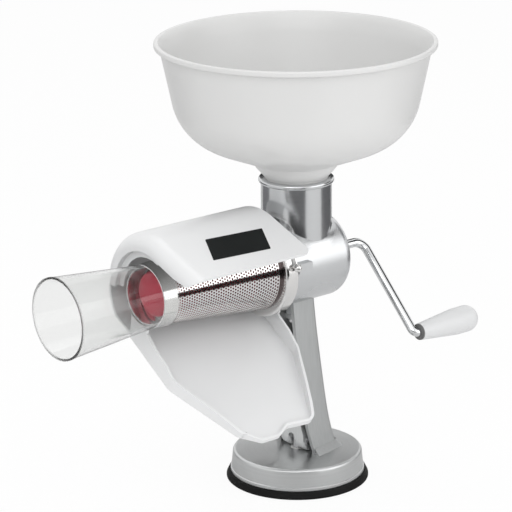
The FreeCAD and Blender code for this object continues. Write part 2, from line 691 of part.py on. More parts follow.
def make_waste_funnel():
    """The clear cone that slips over the end collar."""
    stop_x = SCREEN_END_X - SOFT_GAP
    inner_back = screen_radius(FUNNEL_SLEEVE_X) + COLLAR_WALL + RUNNING
    inner_front = screen_radius(stop_x) + COLLAR_WALL + RUNNING
    lip_x = FUNNEL_MOUTH_X + FUNNEL_LIP_LENGTH
    lip_r = FUNNEL_MOUTH_R + FUNNEL_LIP
    return turned_x((
        (FUNNEL_SLEEVE_X, inner_back), (FUNNEL_SLEEVE_X, inner_back + FUNNEL_SLEEVE_WALL),
        (FUNNEL_SHOULDER_X, inner_front + FUNNEL_WALL), (lip_x, FUNNEL_MOUTH_R),
        (lip_x - FUNNEL_LIP_SLOPE, lip_r), (FUNNEL_MOUTH_X, lip_r),
        (FUNNEL_MOUTH_X, FUNNEL_MOUTH_R - FUNNEL_WALL),
        (FUNNEL_SHOULDER_X, inner_front - FUNNEL_INNER_STEP), (stop_x, inner_front - FUNNEL_INNER_STEP),
        (stop_x, inner_front)))


def guard_angle(y, z):
    """The angle of a point round the barrel axis, from straight up towards -Y, in degrees."""
    return math.degrees(math.atan2(-y, z - AXIS_Z))


def on_hood(x, a, b):
    """A point of the hood: x along the barrel, a forwards along the top, b out from the axis."""
    slope = math.radians(GUARD_SLOPE)
    return Vector(x, -a * math.cos(slope) - b * math.sin(slope),
                  AXIS_Z - a * math.sin(slope) + b * math.cos(slope))


def make_squirt_guard():
    """The white hood: a round back shell, a sloping top with an end skirt and a ringed end."""
    inner_r = GUARD_R - GUARD_WALL
    floor_x = GUARD_END_X + GUARD_RECESS_DEPTH
    corner_r = min(GUARD_CORNER_R, GUARD_R - GUARD_RECESS_R - GUARD_END_FLAT)
    lip_start = guard_angle(GUARD_R, AXIS_Z - GUARD_DROP)
    start = guard_angle(CHUTE_APRON_R, AXIS_Z + CHUTE_APRON_TOP + SLIP)
    profile = (
        (GUARD_BACK_X, inner_r), (GUARD_BACK_X, GUARD_R), (GUARD_END_X, GUARD_R, corner_r),
        (GUARD_END_X, GUARD_RECESS_R, EDGE_R), (floor_x, GUARD_RECESS_R),
        (floor_x, GUARD_HOLE_R, SMALL_EDGE_R), (floor_x + GUARD_WALL, GUARD_HOLE_R, SMALL_EDGE_R),
        (floor_x + GUARD_WALL, GUARD_RECESS_R + GUARD_WALL),
        (GUARD_END_X + GUARD_WALL, GUARD_RECESS_R + GUARD_WALL),
        (GUARD_END_X + GUARD_WALL, inner_r, corner_r - GUARD_WALL))
    shell = turned_x(profile, start, GUARD_SLOPE - start)
    lip = turned_x((
        (GUARD_BACK_X, inner_r), (GUARD_BACK_X, GUARD_R), (GUARD_END_X + corner_r, GUARD_R),
        (GUARD_END_X + corner_r, inner_r)), lip_start, start - lip_start)
    rib_r = FLANGE_R + SOFT_GAP
    rib = turned_x((
        (GUARD_BACK_X - GUARD_RIB, rib_r), (GUARD_BACK_X, rib_r),
        (GUARD_BACK_X, inner_r + GUARD_RIB_SINK), (GUARD_BACK_X - GUARD_RIB, inner_r + GUARD_RIB_SINK)),
        start, GUARD_SLOPE - start)

    def place_profile(x, b):
        return on_hood(x, 0, b)

    def place_end(a, b):
        return on_hood(GUARD_END_X, a, b)

    def place_plan(x, a):
        return on_hood(x, a, 0)

    forward = GUARD_LENGTH_FORWARD
    top = Part.Face(outline(profile, place_profile)).extrude(on_hood(0, forward, 0) - on_hood(0, 0, 0))
    skirt = Part.Face(outline((
        (0, 0), (GUARD_SKIRT_STEP, 0), (GUARD_SKIRT_STEP, GUARD_R - GUARD_SKIRT_ROOT_DOWN, SOFT_EDGE_R),
        (GUARD_SKIRT_TIP_FORWARD, GUARD_R - GUARD_SKIRT_TIP_DOWN, GUARD_SKIRT_TIP_R),
        (forward, inner_r), (forward, GUARD_R), (0, GUARD_R)), place_end))
    plan = Part.Face(outline((
        (GUARD_END_X, 0), (GUARD_END_X, forward, GUARD_FRONT_CORNER_R),
        (GUARD_BACK_X, forward, GUARD_FRONT_CORNER_R), (GUARD_BACK_X, 0)), place_plan))
    top = top.common(skirt.extrude(Vector(GUARD_BACK_X - GUARD_END_X, 0, 0)))
    top = top.common(plan.extrude(on_hood(0, 0, GUARD_R) - on_hood(0, 0, 0)))
    return shell.fuse(lip).fuse(rib).fuse(top).removeSplitter()


def on_slope(x, s, h):
    """A point of the chute: x along the barrel, s down the slope, h above the underside."""
    slope = math.radians(CHUTE_SLOPE)
    depth = CHUTE_UNDERSIDE - h
    return Vector(x, depth * math.sin(slope) - s * math.cos(slope),
                  AXIS_Z - depth * math.cos(slope) - s * math.sin(slope))


def slope_bar(points):
    """A bar across the whole chute with (s, h) points as its section."""
    def place(a, b):
        return on_slope(CHUTE_LEFT_X - PAST, a, b)

    face = Part.Face(outline(points, place))
    return face.extrude(Vector(CHUTE_RIGHT_X - CHUTE_LEFT_X + 2 * PAST, 0, 0))


def chute_prism(inset, h_low, h_high):
    """The chute's plan outline, moved in by inset, between two heights."""
    back_s = -math.sqrt(CHUTE_APRON_R ** 2 - CHUTE_UNDERSIDE ** 2)
    corner = CHUTE_FRONT_R - inset
    run = CHUTE_FRONT_RIGHT_X - CHUTE_FRONT_LEFT_X
    drop = (CHUTE_FRONT_RIGHT_S - CHUTE_FRONT_LEFT_S) / run
    root_left_x = CHUTE_SPOUT_X - CHUTE_SPOUT_ROOT_HALF
    root_right_x = CHUTE_SPOUT_X + CHUTE_SPOUT_ROOT_HALF
    root_left_s = CHUTE_FRONT_LEFT_S + drop * (root_left_x - CHUTE_FRONT_LEFT_X)
    root_right_s = CHUTE_FRONT_LEFT_S + drop * (root_right_x - CHUTE_FRONT_LEFT_X)
    corners = (
        (CHUTE_LEFT_X + inset, back_s), (CHUTE_LEFT_X + inset, CHUTE_BEND_S, CHUTE_SIDE_R),
        (CHUTE_FRONT_LEFT_X + inset, CHUTE_FRONT_LEFT_S - inset, corner),
        (root_left_x, root_left_s - inset + TOUCH, CHUTE_SPOUT_R),
        (CHUTE_SPOUT_X - CHUTE_SPOUT_HALF, CHUTE_SPOUT_S - inset, CHUTE_SPOUT_R),
        (CHUTE_SPOUT_X + CHUTE_SPOUT_HALF, CHUTE_SPOUT_S - inset, CHUTE_SPOUT_R),
        (root_right_x, root_right_s - inset + TOUCH, CHUTE_SPOUT_R),
        (CHUTE_FRONT_RIGHT_X - inset, CHUTE_FRONT_RIGHT_S - inset, corner),
        (CHUTE_RIGHT_X - inset, CHUTE_BEND_S, CHUTE_SIDE_R), (CHUTE_RIGHT_X - inset, back_s))

    def place(a, b):
        return on_slope(a, b, h_low)

    face = Part.Face(outline(corners, place))
    return face.extrude(on_slope(0, 0, h_high) - on_slope(0, 0, h_low))


def make_juice_chute():
    """The white tray: a curved apron behind the screen, a sloping floor and low side walls."""
    left = CHUTE_LEFT_X - PAST
    right = CHUTE_RIGHT_X + PAST
    first_s, first_h = CHUTE_RIM[0]
    last_s = CHUTE_RIM[-1][0] + PAST
    over = CHUTE_DEEP + PAST
    above = CHUTE_RIM + ((last_s, CHUTE_WALL), (last_s, over), (first_s, over))
    keep = rod_x(CHUTE_APRON_R, left, right).fuse(
        slope_bar(((0, -PAST), (last_s, -PAST), (last_s, over + PAST), (0, over + PAST))))
    plan = chute_prism(0, 0, CHUTE_DEEP)
    tray = plan.cut(chute_prism(CHUTE_WALL, CHUTE_WALL, over)).cut(slope_bar(above))
    tray = tray.common(keep)
    tray = tray.cut(block(left, right, CHUTE_END_WALL_BACK_Y, CHUTE_DEEP + first_h,
                          AXIS_Z - CHUTE_UNDERSIDE + CHUTE_WALL, AXIS_Z + CHUTE_DEEP))
    tray = tray.cut(rod_x(FUNNEL_SLEEVE_R + FUNNEL_ROOM, left, FUNNEL_SLEEVE_X))
    tray = tray.cut(rod_x(BARREL_R + SLIP, BARREL_FRONT_X, right))
    inner_r = CHUTE_APRON_R - CHUTE_WALL
    slope_angle = -180 + CHUTE_SLOPE
    apron_sweep = guard_angle(CHUTE_APRON_R, AXIS_Z + CHUTE_APRON_TOP) - slope_angle
    apron = turned_x((
        (CHUTE_LEFT_X, inner_r), (CHUTE_LEFT_X, CHUTE_APRON_R),
        (CHUTE_RIGHT_X, CHUTE_APRON_R), (CHUTE_RIGHT_X, inner_r)), slope_angle, apron_sweep)
    rib_r = FLANGE_R + SOFT_GAP
    rib_end = CHUTE_RIB_X + CHUTE_WALL
    rib = turned_x((
        (CHUTE_RIB_X, rib_r), (CHUTE_RIB_X, inner_r + PAST), (rib_end, inner_r + PAST),
        (rib_end, rib_r)), slope_angle, apron_sweep)
    below = slope_bar(((-CHUTE_APRON_R, -CHUTE_DEEP), (CHUTE_APRON_R, -CHUTE_DEEP),
                       (CHUTE_APRON_R, 0), (-CHUTE_APRON_R, 0)))
    apron = apron.cut(below)
    rib = rib.cut(below)
    floor = chute_prism(0, 0, CHUTE_WALL).common(keep)
    return tray.fuse(floor).fuse(apron).fuse(rib).removeSplitter()


def make_crank_rod():
    """One chromed rod: the shaft along the axis, the slanting arm and the grip's spindle."""
    corners = (Vector(ROD_INNER_X, 0, AXIS_Z), Vector(CRANK_ARM_X, 0, AXIS_Z),
               Vector(CRANK_ARM_X, CRANK_GRIP_Y, CRANK_GRIP_Z),
               Vector(ROD_OUTER_X, CRANK_GRIP_Y, CRANK_GRIP_Z))
    edges = []
    last = corners[0]
    for index, bend in ((1, CRANK_TOP_BEND_R), (2, CRANK_GRIP_BEND_R)):
        here = corners[index]
        back = (corners[index - 1] - here).normalize() * bend
        ahead = (corners[index + 1] - here).normalize() * bend
        middle = here + (back + ahead) * (1 - math.sqrt(0.5))
        edges.append(Part.makeLine(last, here + back))
        edges.append(Part.Arc(here + back, middle, here + ahead).toShape())
        last = here + ahead
    edges.append(Part.makeLine(last, corners[3]))
    path = Part.Wire(edges)
    section = Part.Wire([Part.makeCircle(ROD_R, corners[0], Vector(1, 0, 0))])
    rod = path.makePipeShell([section], True, False)
    return rod.cut(rod_z(DRIVE_PIN_R + TOUCH, AXIS_Z - BARREL_R, AXIS_Z + BARREL_R, DRIVE_PIN_X, 0))


def make_drive_pin():
    """The cross pin that makes the auger turn with the crank."""
    half = AUGER_CORE_R - DRIVE_PIN_SHORT
    return rod_z(DRIVE_PIN_R, AXIS_Z - half, AXIS_Z + half, DRIVE_PIN_X, 0)


def make_crank_grip():
    """The white turning grip, thin next to the arm and round at its free end."""
    def place(a, b):
        return Vector(a, CRANK_GRIP_Y, CRANK_GRIP_Z + b)

    face = Part.Face(outline((
        (GRIP_START_X, 0), (GRIP_START_X, GRIP_SMALL_R, SOFT_EDGE_R),
        (GRIP_BELLY_X, GRIP_BIG_R, GRIP_BELLY_R), (GRIP_END_X, GRIP_BIG_R, GRIP_END_R),
        (GRIP_END_X, 0)), place))
    grip = face.revolve(place(0, 0), Vector(1, 0, 0), 360)
    bore = rod_x(ROD_R + RUNNING, GRIP_START_X - PAST, ROD_OUTER_X + GRIP_BLIND, CRANK_GRIP_Y, CRANK_GRIP_Z)
    return grip.cut(bore)


def make_grip_washer():
    """The dark washer between the arm's bend and the grip."""
    washer = rod_x(GRIP_WASHER_R, GRIP_START_X - GRIP_WASHER_H, GRIP_START_X, CRANK_GRIP_Y, CRANK_GRIP_Z)
    return washer.cut(rod_x(ROD_R + TOUCH, GRIP_START_X - GRIP_WASHER_H - PAST, GRIP_START_X + PAST,
                            CRANK_GRIP_Y, CRANK_GRIP_Z))


def make_auger():
    """The red screw: a core that thickens forwards, a winding flight and a bore for the shaft."""
    core = turned_x((
        (AUGER_BACK_X, 0), (AUGER_BACK_X, AUGER_CORE_R, SOFT_EDGE_R),
        (AUGER_FRONT_X, AUGER_CORE_FRONT_R, AUGER_NOSE_R), (AUGER_FRONT_X, 0)))
    helix = Part.makeHelix(AUGER_PITCH, AUGER_BACK_X - AUGER_FRONT_X - AUGER_FLIGHT, AUGER_CORE_R)
    low = AUGER_CORE_R - AUGER_FLIGHT_SINK
    half = AUGER_FLIGHT / 2
    half_tip = AUGER_FLIGHT_TIP / 2
    section = Part.makePolygon([Vector(low, 0, -half), Vector(BARREL_R, 0, -half_tip),
                                Vector(BARREL_R, 0, half_tip), Vector(low, 0, half),
                                Vector(low, 0, -half)])
    flight = Part.Wire(helix).makePipeShell([section], True, True)
    flight.rotate(Vector(0, 0, 0), Vector(0, 1, 0), 90)
    flight.translate(Vector(AUGER_FRONT_X + half, 0, AXIS_Z))
    back_r = BARREL_R - BARREL_WALL - AUGER_BARREL_GAP
    front_r = screen_radius(AUGER_FRONT_X) - SCREEN_WALL - AUGER_SCREEN_GAP
    envelope = turned_x((
        (AUGER_BACK_X, 0), (AUGER_BACK_X, back_r), (FLANGE_FRONT_X + AUGER_TAPER_LEAD, back_r),
        (AUGER_FRONT_X, front_r), (AUGER_FRONT_X, 0)))
    auger = core.fuse(flight.common(envelope.toNurbs()))
    auger = auger.cut(rod_x(ROD_R + TOUCH, AUGER_BACK_X - AUGER_BORE_DEPTH - PAST, AUGER_BACK_X + PAST))
    reach = AUGER_CORE_R + AUGER_PIN_ROOM
    return auger.cut(rod_z(DRIVE_PIN_R + TOUCH, AXIS_Z - reach, AXIS_Z + reach, DRIVE_PIN_X, 0))


def make_thrust_washers():
    """A nylon washer at each end of the auger's spring."""
    washers = []
    for low in (AUGER_BACK_X, BARREL_BACK_X - BARREL_BACK_WALL - THRUST_WASHER_H - THRUST_GAP):
        washer = rod_x(THRUST_WASHER_R, low, low + THRUST_WASHER_H)
        washers.append(washer.cut(rod_x(ROD_R + RUNNING, low - PAST, low + THRUST_WASHER_H + PAST)))
    return Part.makeCompound(washers)


def make_auger_spring():
    """The coil spring that presses the auger forwards, wound round the crank's shaft."""
    low = AUGER_BACK_X + THRUST_WASHER_H + THRUST_GAP + SPRING_WIRE_R
    high = BARREL_BACK_X - BARREL_BACK_WALL - THRUST_WASHER_H - 2 * THRUST_GAP - SPRING_WIRE_R
    pitch = (high - low) / SPRING_TURNS
    helix = Part.makeHelix(pitch, high - low, SPRING_R)
    section = Part.Wire([Part.makeCircle(SPRING_WIRE_R, Vector(SPRING_R, 0, 0), Vector(0, 1, 0))])
    coil = Part.Wire(helix).makePipeShell([section], True, True)
    coil.rotate(Vector(0, 0, 0), Vector(0, 1, 0), 90)
    coil.translate(Vector(low, 0, AXIS_Z))
    return coil


def wall_inside(corners, wall):
    """The corners of the line that runs beside another at a wall's distance, to its left."""
    made = []
    for index, corner in enumerate(corners):
        here = Vector(corner[0], corner[1], 0)
        before = corners[max(index - 1, 0)]
        after = corners[min(index + 1, len(corners) - 1)]
        back = (here - Vector(before[0], before[1], 0)) if index else Vector(0, 0, 0)
        ahead = (Vector(after[0], after[1], 0) - here) if index < len(corners) - 1 else Vector(0, 0, 0)
        back = back.normalize() if back.Length else ahead.normalize()
        ahead = ahead.normalize() if ahead.Length else back
        left = Vector(-back.y - ahead.y, back.x + ahead.x, 0).normalize()
        reach = wall / left.dot(Vector(-back.y, back.x, 0))
        turn = back.x * ahead.y - back.y * ahead.x
        rounding = corner[2] - math.copysign(wall, turn) if len(corner) > 2 else 0
        made.append((here.x + left.x * reach, here.y + left.y * reach, rounding))
    return made


def make_hopper():
    """The deep white bowl with a rolled lip and a neck that drops into the inlet tube."""
    outer = [
        (TUBE_R - TUBE_WALL - NECK_GAP, NECK_BEAD_Z), (NECK_TOP_R, NECK_TOP_Z, SOFT_EDGE_R),
        (HOPPER_THROAT_R, HOPPER_THROAT_Z, HOPPER_THROAT_BEND_R),
        (HOPPER_TURN_R, HOPPER_TURN_Z, HOPPER_TURN_BEND_R), (HOPPER_SHOULDER_R, HOPPER_SHOULDER_Z)]
    inner = wall_inside(outer, HOPPER_WALL)
    inner_top_r = HOPPER_RIM_R - HOPPER_LIP_W
    return turned_z((
        (NECK_BOTTOM_R - NECK_WALL, NECK_BOTTOM_Z), (NECK_BOTTOM_R, NECK_BOTTOM_Z), *outer,
        (HOPPER_RIM_R, HOPPER_RIM_Z - HOPPER_LIP_H, HOPPER_LIP_EDGE_R),
        (HOPPER_RIM_R, HOPPER_RIM_Z, HOPPER_LIP_EDGE_R), (inner_top_r, HOPPER_RIM_Z, HOPPER_LIP_EDGE_R),
        *inner[::-1]))


PIECES = {
    "suction_cup": make_suction_cup,
    "base_dish": make_base_dish,
    "base_screws": make_base_screws,
    "stem_bush": make_stem_bush,
    "suction_stem": make_suction_stem,
    "lever_pin": make_lever_pin,
    "lever_clips": make_lever_clips,
    "cam_lever": make_cam_lever,
    "column": make_column,
    "saddle_screws": make_saddle_screws,
    "barrel_body": make_barrel_body,
    "shaft_bushing": make_shaft_bushing,
    "bayonet_studs": make_bayonet_studs,
    "screen_flange": make_screen_flange,
    "flange_gasket": make_flange_gasket,
    "strainer_screen": make_strainer_screen,
    "screen_end_collar": make_screen_end_collar,
    "waste_funnel": make_waste_funnel,
    "squirt_guard": make_squirt_guard,
    "juice_chute": make_juice_chute,
    "crank_rod": make_crank_rod,
    "drive_pin": make_drive_pin,
    "crank_grip": make_crank_grip,
    "grip_washer": make_grip_washer,
    "auger": make_auger,
    "auger_spring": make_auger_spring,
    "thrust_washers": make_thrust_washers,
    "hopper": make_hopper,
}

os.makedirs("parts", exist_ok=True)
for node, make in PIECES.items():
    shape = make()
    shape.exportStep(os.path.join("parts", node + ".step"))
    print(node, "solids", len(shape.Solids), "volume", round(shape.Volume), "valid", shape.isValid())
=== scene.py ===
# %% [markdown]
# # A hand cranked tomato strainer
# The maker's drawing comes in as a fixed frame of solids. This notebook dresses it: it rounds
# and smooths the pieces that show, rolls the perforated screen, and mixes one finish for each
# real material. Everything is in metres, with +Z up, the crank towards +X and the juice chute
# towards -Y.

# %% The frame
import json
import math

import bmesh
import bpy
from mathutils import Matrix, Vector

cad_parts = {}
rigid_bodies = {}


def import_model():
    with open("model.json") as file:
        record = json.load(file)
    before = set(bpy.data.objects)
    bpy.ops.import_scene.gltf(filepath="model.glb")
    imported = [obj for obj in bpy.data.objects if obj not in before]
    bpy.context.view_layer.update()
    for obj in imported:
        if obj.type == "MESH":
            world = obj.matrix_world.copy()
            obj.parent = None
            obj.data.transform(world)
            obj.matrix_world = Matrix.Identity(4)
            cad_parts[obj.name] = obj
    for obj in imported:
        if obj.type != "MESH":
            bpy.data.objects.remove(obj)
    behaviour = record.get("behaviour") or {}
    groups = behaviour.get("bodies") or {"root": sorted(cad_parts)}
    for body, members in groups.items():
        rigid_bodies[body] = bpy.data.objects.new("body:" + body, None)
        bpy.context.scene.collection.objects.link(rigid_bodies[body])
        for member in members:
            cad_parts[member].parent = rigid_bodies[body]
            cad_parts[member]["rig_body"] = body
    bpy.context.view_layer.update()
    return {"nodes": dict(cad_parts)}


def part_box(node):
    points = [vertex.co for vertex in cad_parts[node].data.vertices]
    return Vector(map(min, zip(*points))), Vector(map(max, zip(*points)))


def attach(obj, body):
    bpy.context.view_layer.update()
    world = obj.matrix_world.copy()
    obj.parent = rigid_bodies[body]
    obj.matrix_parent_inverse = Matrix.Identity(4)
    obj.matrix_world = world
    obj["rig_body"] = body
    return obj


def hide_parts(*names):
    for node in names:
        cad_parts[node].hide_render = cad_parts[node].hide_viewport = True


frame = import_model()
nodes = frame["nodes"]
MM = 0.001
print("solids in the frame:", len(nodes))

# %% [markdown]
# ## Where the lens stands
# The photograph was taken from a little above and from the front left, with a long lens. Its
# place was worked out from the round rims of the hopper and the base, whose ellipses tell how
# far above them the lens stands. It could be typed in as a matrix, but an azimuth, an elevation
# and a distance keep those facts readable.

# %% Where the lens stands
PHOTO_AZIMUTH = math.radians(-39.847)
PHOTO_ELEVATION = math.radians(17.163)
PHOTO_ROLL = math.radians(-0.496)
PHOTO_DISTANCE = 2.3413
PHOTO_SHIFT_RIGHT = -0.035004
PHOTO_TARGET_HEIGHT = 0.20166

right = Vector((math.cos(PHOTO_AZIMUTH), math.sin(PHOTO_AZIMUTH), 0))
to_lens = Vector((math.sin(PHOTO_AZIMUTH) * math.cos(PHOTO_ELEVATION),
                  -math.cos(PHOTO_AZIMUTH) * math.cos(PHOTO_ELEVATION),
                  math.sin(PHOTO_ELEVATION)))
up = to_lens.cross(right)
eye = Vector((0, 0, PHOTO_TARGET_HEIGHT)) + right * PHOTO_SHIFT_RIGHT + to_lens * PHOTO_DISTANCE
print("lens stands at", [round(c, 3) for c in eye])

# %% [markdown]
# ## The camera
# The photograph leans by half a degree, so the camera's own right and up are turned by that much
# about the line of sight. With the direction to the lens they are the three columns of the
# matrix that places the camera.

# %% The camera
PHOTO_LENS = 190.67
FILM_WIDTH = 36
SEEN_UP_TO = 20

turned_right = right * math.cos(PHOTO_ROLL) + up * math.sin(PHOTO_ROLL)
turned_up = up * math.cos(PHOTO_ROLL) - right * math.sin(PHOTO_ROLL)
camera_turn = Matrix((turned_right, turned_up, to_lens)).transposed().to_4x4()

camera_data = bpy.data.cameras.new("photo_camera")
camera_data.lens = PHOTO_LENS
camera_data.sensor_width = FILM_WIDTH
camera_data.clip_end = SEEN_UP_TO
camera = bpy.data.objects.new("photo_camera", camera_data)
bpy.context.scene.collection.objects.link(camera)
camera.matrix_world = Matrix.Translation(eye) @ camera_turn
bpy.context.scene.camera = camera
print("lens of", PHOTO_LENS, "mm")

# %% [markdown]
# ## Building with nodes
# A material is a small tree of nodes. Two helpers keep the cells below short: one adds a node
# with its values, and one draws the links.


# %% Helpers for node trees
def add_node(tree, kind, values=None, **settings):
    """A shader node with its settings and the values of its sockets."""
    made = tree.nodes.new("ShaderNode" + kind)
    for label, value in settings.items():
        setattr(made, label, value)
    for socket, value in (values or {}).items():
        made.inputs[socket].default_value = value
    return made


def wire(tree, *pairs):
    """Links given as (from node, from socket, to node, to socket)."""
    for from_node, from_socket, to_node, to_socket in pairs:
        tree.links.new(from_node.outputs[from_socket], to_node.inputs[to_socket])


# %% [markdown]
# ## Groups
# A group is a pattern that is built once and then placed in each material that needs it. The
# three groups of this object are a plastic's skin, turning marks and brushing. All of them end
# in the same way, with a colour, a roughness and a normal, so one helper starts a group and one
# finishes it.

# %% Helpers for groups
SKIN_OUTPUTS = (("Color", "Color"), ("Roughness", "Float"), ("Normal", "Vector"))
MIX_FACTOR, MIX_A, MIX_B, MIX_RESULT = 0, 6, 7, 2


def new_group(name, inputs):
    """A shader group that puts out a colour, a roughness and a normal, with its end nodes."""
    group = bpy.data.node_groups.new(name, "ShaderNodeTree")
    for label, kind in inputs:
        group.interface.new_socket(label, in_out="INPUT", socket_type="NodeSocket" + kind)
    for label, kind in SKIN_OUTPUTS:
        group.interface.new_socket(label, in_out="OUTPUT", socket_type="NodeSocket" + kind)
    return group, group.nodes.new("NodeGroupInput"), group.nodes.new("NodeGroupOutput")


def finish_group(group, start, end, mask, marks, added_roughness, mark_height):
    """Mixes tint and shade by a mask, roughens by it and lifts the marks into a normal."""
    rough = add_node(group, "Math", {1: added_roughness}, operation="MULTIPLY_ADD")
    mix = add_node(group, "Mix", data_type="RGBA")
    bump = add_node(group, "Bump", {"Distance": mark_height})
    wire(group, (*mask, rough, 0), (start, "Gloss", rough, 2), (rough, "Value", end, "Roughness"),
         (*mask, mix, MIX_FACTOR), (start, "Tint", mix, MIX_A), (start, "Shade", mix, MIX_B),
         (mix, MIX_RESULT, end, "Color"), (*marks, bump, "Height"),
         (start, "Depth", bump, "Strength"), (bump, "Normal", end, "Normal"))
    print("group", group.name, "nodes", len(group.nodes))


# %% [markdown]
# ## The skin of moulded plastic
# Moulded plastic looks even from afar, yet up close its shade and gloss drift a little and the
# surface has a faint orange peel. A wide noise gives the drift and a fine one the peel. An image
# could do the same, but noise has no seams and no edge to its resolution.

# %% Group for moulded plastic
DRIFT_NOISE = 14
PEEL_NOISE = 420
PEEL_HEIGHT = 0.4 * MM
PLASTIC_ROUGHER_BY = 0.12
PLASTIC_INPUTS = (("Tint", "Color"), ("Shade", "Color"), ("Gloss", "Float"), ("Depth", "Float"))

moulded, moulded_in, moulded_out = new_group("moulded_skin", PLASTIC_INPUTS)
place = add_node(moulded, "TexCoord")
cloud = add_node(moulded, "TexNoise", {"Scale": DRIFT_NOISE, "Detail": 3})
peel = add_node(moulded, "TexNoise", {"Scale": PEEL_NOISE})
wire(moulded, (place, "Object", cloud, "Vector"), (place, "Object", peel, "Vector"))
finish_group(moulded, moulded_in, moulded_out, (cloud, "Fac"), (peel, "Fac"),
             PLASTIC_ROUGHER_BY, PEEL_HEIGHT)

# %% [markdown]
# ## Turning marks
# The feed tube, the dish and the rings were finished on a lathe, which leaves fine marks round the
# axis. Turning the coordinates into a radius and a height first, and reading the noise there,
# makes the same value all the way round, and that is a ring. A wide noise is added, so that the
# shine drifts as it does on a piece that is handled.

# %% Group for turned metal
METAL_INPUTS = (("Vector", "Vector"), *PLASTIC_INPUTS)
RING_NOISE = 900
SHINE_NOISE = 22
SHINE_SHARE = 0.45
RING_SHARE = 0.55
TURNED_ROUGHER_BY = 0.16
MARK_HEIGHT = 0.2 * MM

turned, turned_in, turned_out = new_group("turning_marks", METAL_INPUTS)
split = add_node(turned, "SeparateXYZ")
flat = add_node(turned, "CombineXYZ")
radius_of = add_node(turned, "VectorMath", operation="LENGTH")
rings = add_node(turned, "CombineXYZ")
ring_marks = add_node(turned, "TexNoise", {"Scale": RING_NOISE, "Detail": 4})
drift = add_node(turned, "TexNoise", {"Scale": SHINE_NOISE})
weaker = add_node(turned, "Math", {1: SHINE_SHARE}, operation="MULTIPLY")
both = add_node(turned, "Math", {1: RING_SHARE}, operation="MULTIPLY_ADD")
wire(turned, (turned_in, "Vector", split, "Vector"), (split, "X", flat, "X"),
     (split, "Y", flat, "Y"), (flat, "Vector", radius_of, 0), (radius_of, "Value", rings, "X"),
     (split, "Z", rings, "Y"), (rings, "Vector", ring_marks, "Vector"),
     (turned_in, "Vector", drift, "Vector"), (drift, "Fac", weaker, 0),
     (ring_marks, "Fac", both, 0), (weaker, "Value", both, 2))
finish_group(turned, turned_in, turned_out, (both, "Value"), (ring_marks, "Fac"),
             TURNED_ROUGHER_BY, MARK_HEIGHT)

# %% [markdown]
# ## Brushed marks
# Sheet, rod and the sanded castings carry long fine scratches. Noise that is squeezed along one
# axis draws into lines, so one scale on the coordinates is all that brushing takes.

# %% Group for brushed metal
SQUEEZED_ALONG_X = (0.03, 1, 1)
SCRATCH_NOISE = 700
BRUSHED_ROUGHER_BY = 0.2

brushed, brushed_in, brushed_out = new_group("brushed_sheet", METAL_INPUTS)
stretch = add_node(brushed, "Mapping", {"Scale": SQUEEZED_ALONG_X})
scratches = add_node(brushed, "TexNoise", {"Scale": SCRATCH_NOISE, "Detail": 5})
wire(brushed, (brushed_in, "Vector", stretch, "Vector"),
     (stretch, "Vector", scratches, "Vector"))
finish_group(brushed, brushed_in, brushed_out, (scratches, "Fac"), (scratches, "Fac"),
             BRUSHED_ROUGHER_BY, MARK_HEIGHT)


# %% [markdown]
# ## Placing a skin
# Each real material gets one finish. A number that is the same all over, such as the weight of
# the clear coat, is set on the shader itself, and only what varies comes from the group.

# %% A plastic finish
COAT_ROUGHNESS = 0.12


def shader_of(name):
    """A new material and its principled shader."""
    material = bpy.data.materials.new(name)
    material.use_nodes = True
    return material, material.node_tree.nodes["Principled BSDF"]


def place_skin(tree, shader, group, colour, depth, gloss, marks):
    """Places a group in a material, with a tint and a slightly darker shade of it."""
    skin = tree.nodes.new("ShaderNodeGroup")
    skin.node_tree = group
    skin.inputs["Tint"].default_value = (*colour, 1)
    skin.inputs["Shade"].default_value = (*[part * (1 - depth) for part in colour], 1)
    skin.inputs["Gloss"].default_value = gloss
    skin.inputs["Depth"].default_value = marks
    wire(tree, (skin, "Color", shader, "Base Color"), (skin, "Roughness", shader, "Roughness"),
         (skin, "Normal", shader, "Normal"))
    return skin


def plastic(name, colour, gloss, peel=0.05, coat=0.0, depth=0.05, specular=0.5):
    """A moulded plastic finish."""
    material, shader = shader_of(name)
    place_skin(material.node_tree, shader, moulded, colour, depth, gloss, peel)
    shader.inputs["Coat Weight"].default_value = coat
    shader.inputs["Coat Roughness"].default_value = COAT_ROUGHNESS
    shader.inputs["Specular IOR Level"].default_value = specular
    return material


# %% [markdown]
# ## The plastics
# The object has white mouldings of three slightly different whites, the auger's red, nylon
# bushings, a dark washer, the label and the rubber. Dark plastics get a low specular level, or
# the white room would wash them out to grey.

# %% The plastics
white_moulding = plastic("white_moulding", (0.80, 0.805, 0.81), 0.27, coat=0.12)
hopper_white = plastic("hopper_white", (0.70, 0.70, 0.695), 0.29, coat=0.08)
white_grip = plastic("white_grip", (0.70, 0.705, 0.71), 0.34)
red_moulding = plastic("red_moulding", (0.60, 0.015, 0.055), 0.28, depth=0.2)
nylon = plastic("nylon", (0.78, 0.78, 0.76), 0.4)
dark_fibre = plastic("dark_fibre", (0.16, 0.16, 0.16), 0.6, specular=0.2)
label_skin = plastic("label_skin", (0.009, 0.011, 0.011), 0.45, depth=0.3, specular=0.12)
black_rubber = plastic("black_rubber", (0.008, 0.008, 0.008), 0.5, peel=0.2, depth=0.3,
                       specular=0.12)
print("plastics:", len(bpy.data.materials))

# %% [markdown]
# ## Metal finishes
# A metal has no colour of its own but that of its reflections, so its finish is mostly a matter
# of how sharp those are. A Mapping node turns each pattern to the way the piece was worked: the
# marks of the bayonet ring run round the barrel's axis, and those of the column run up it.


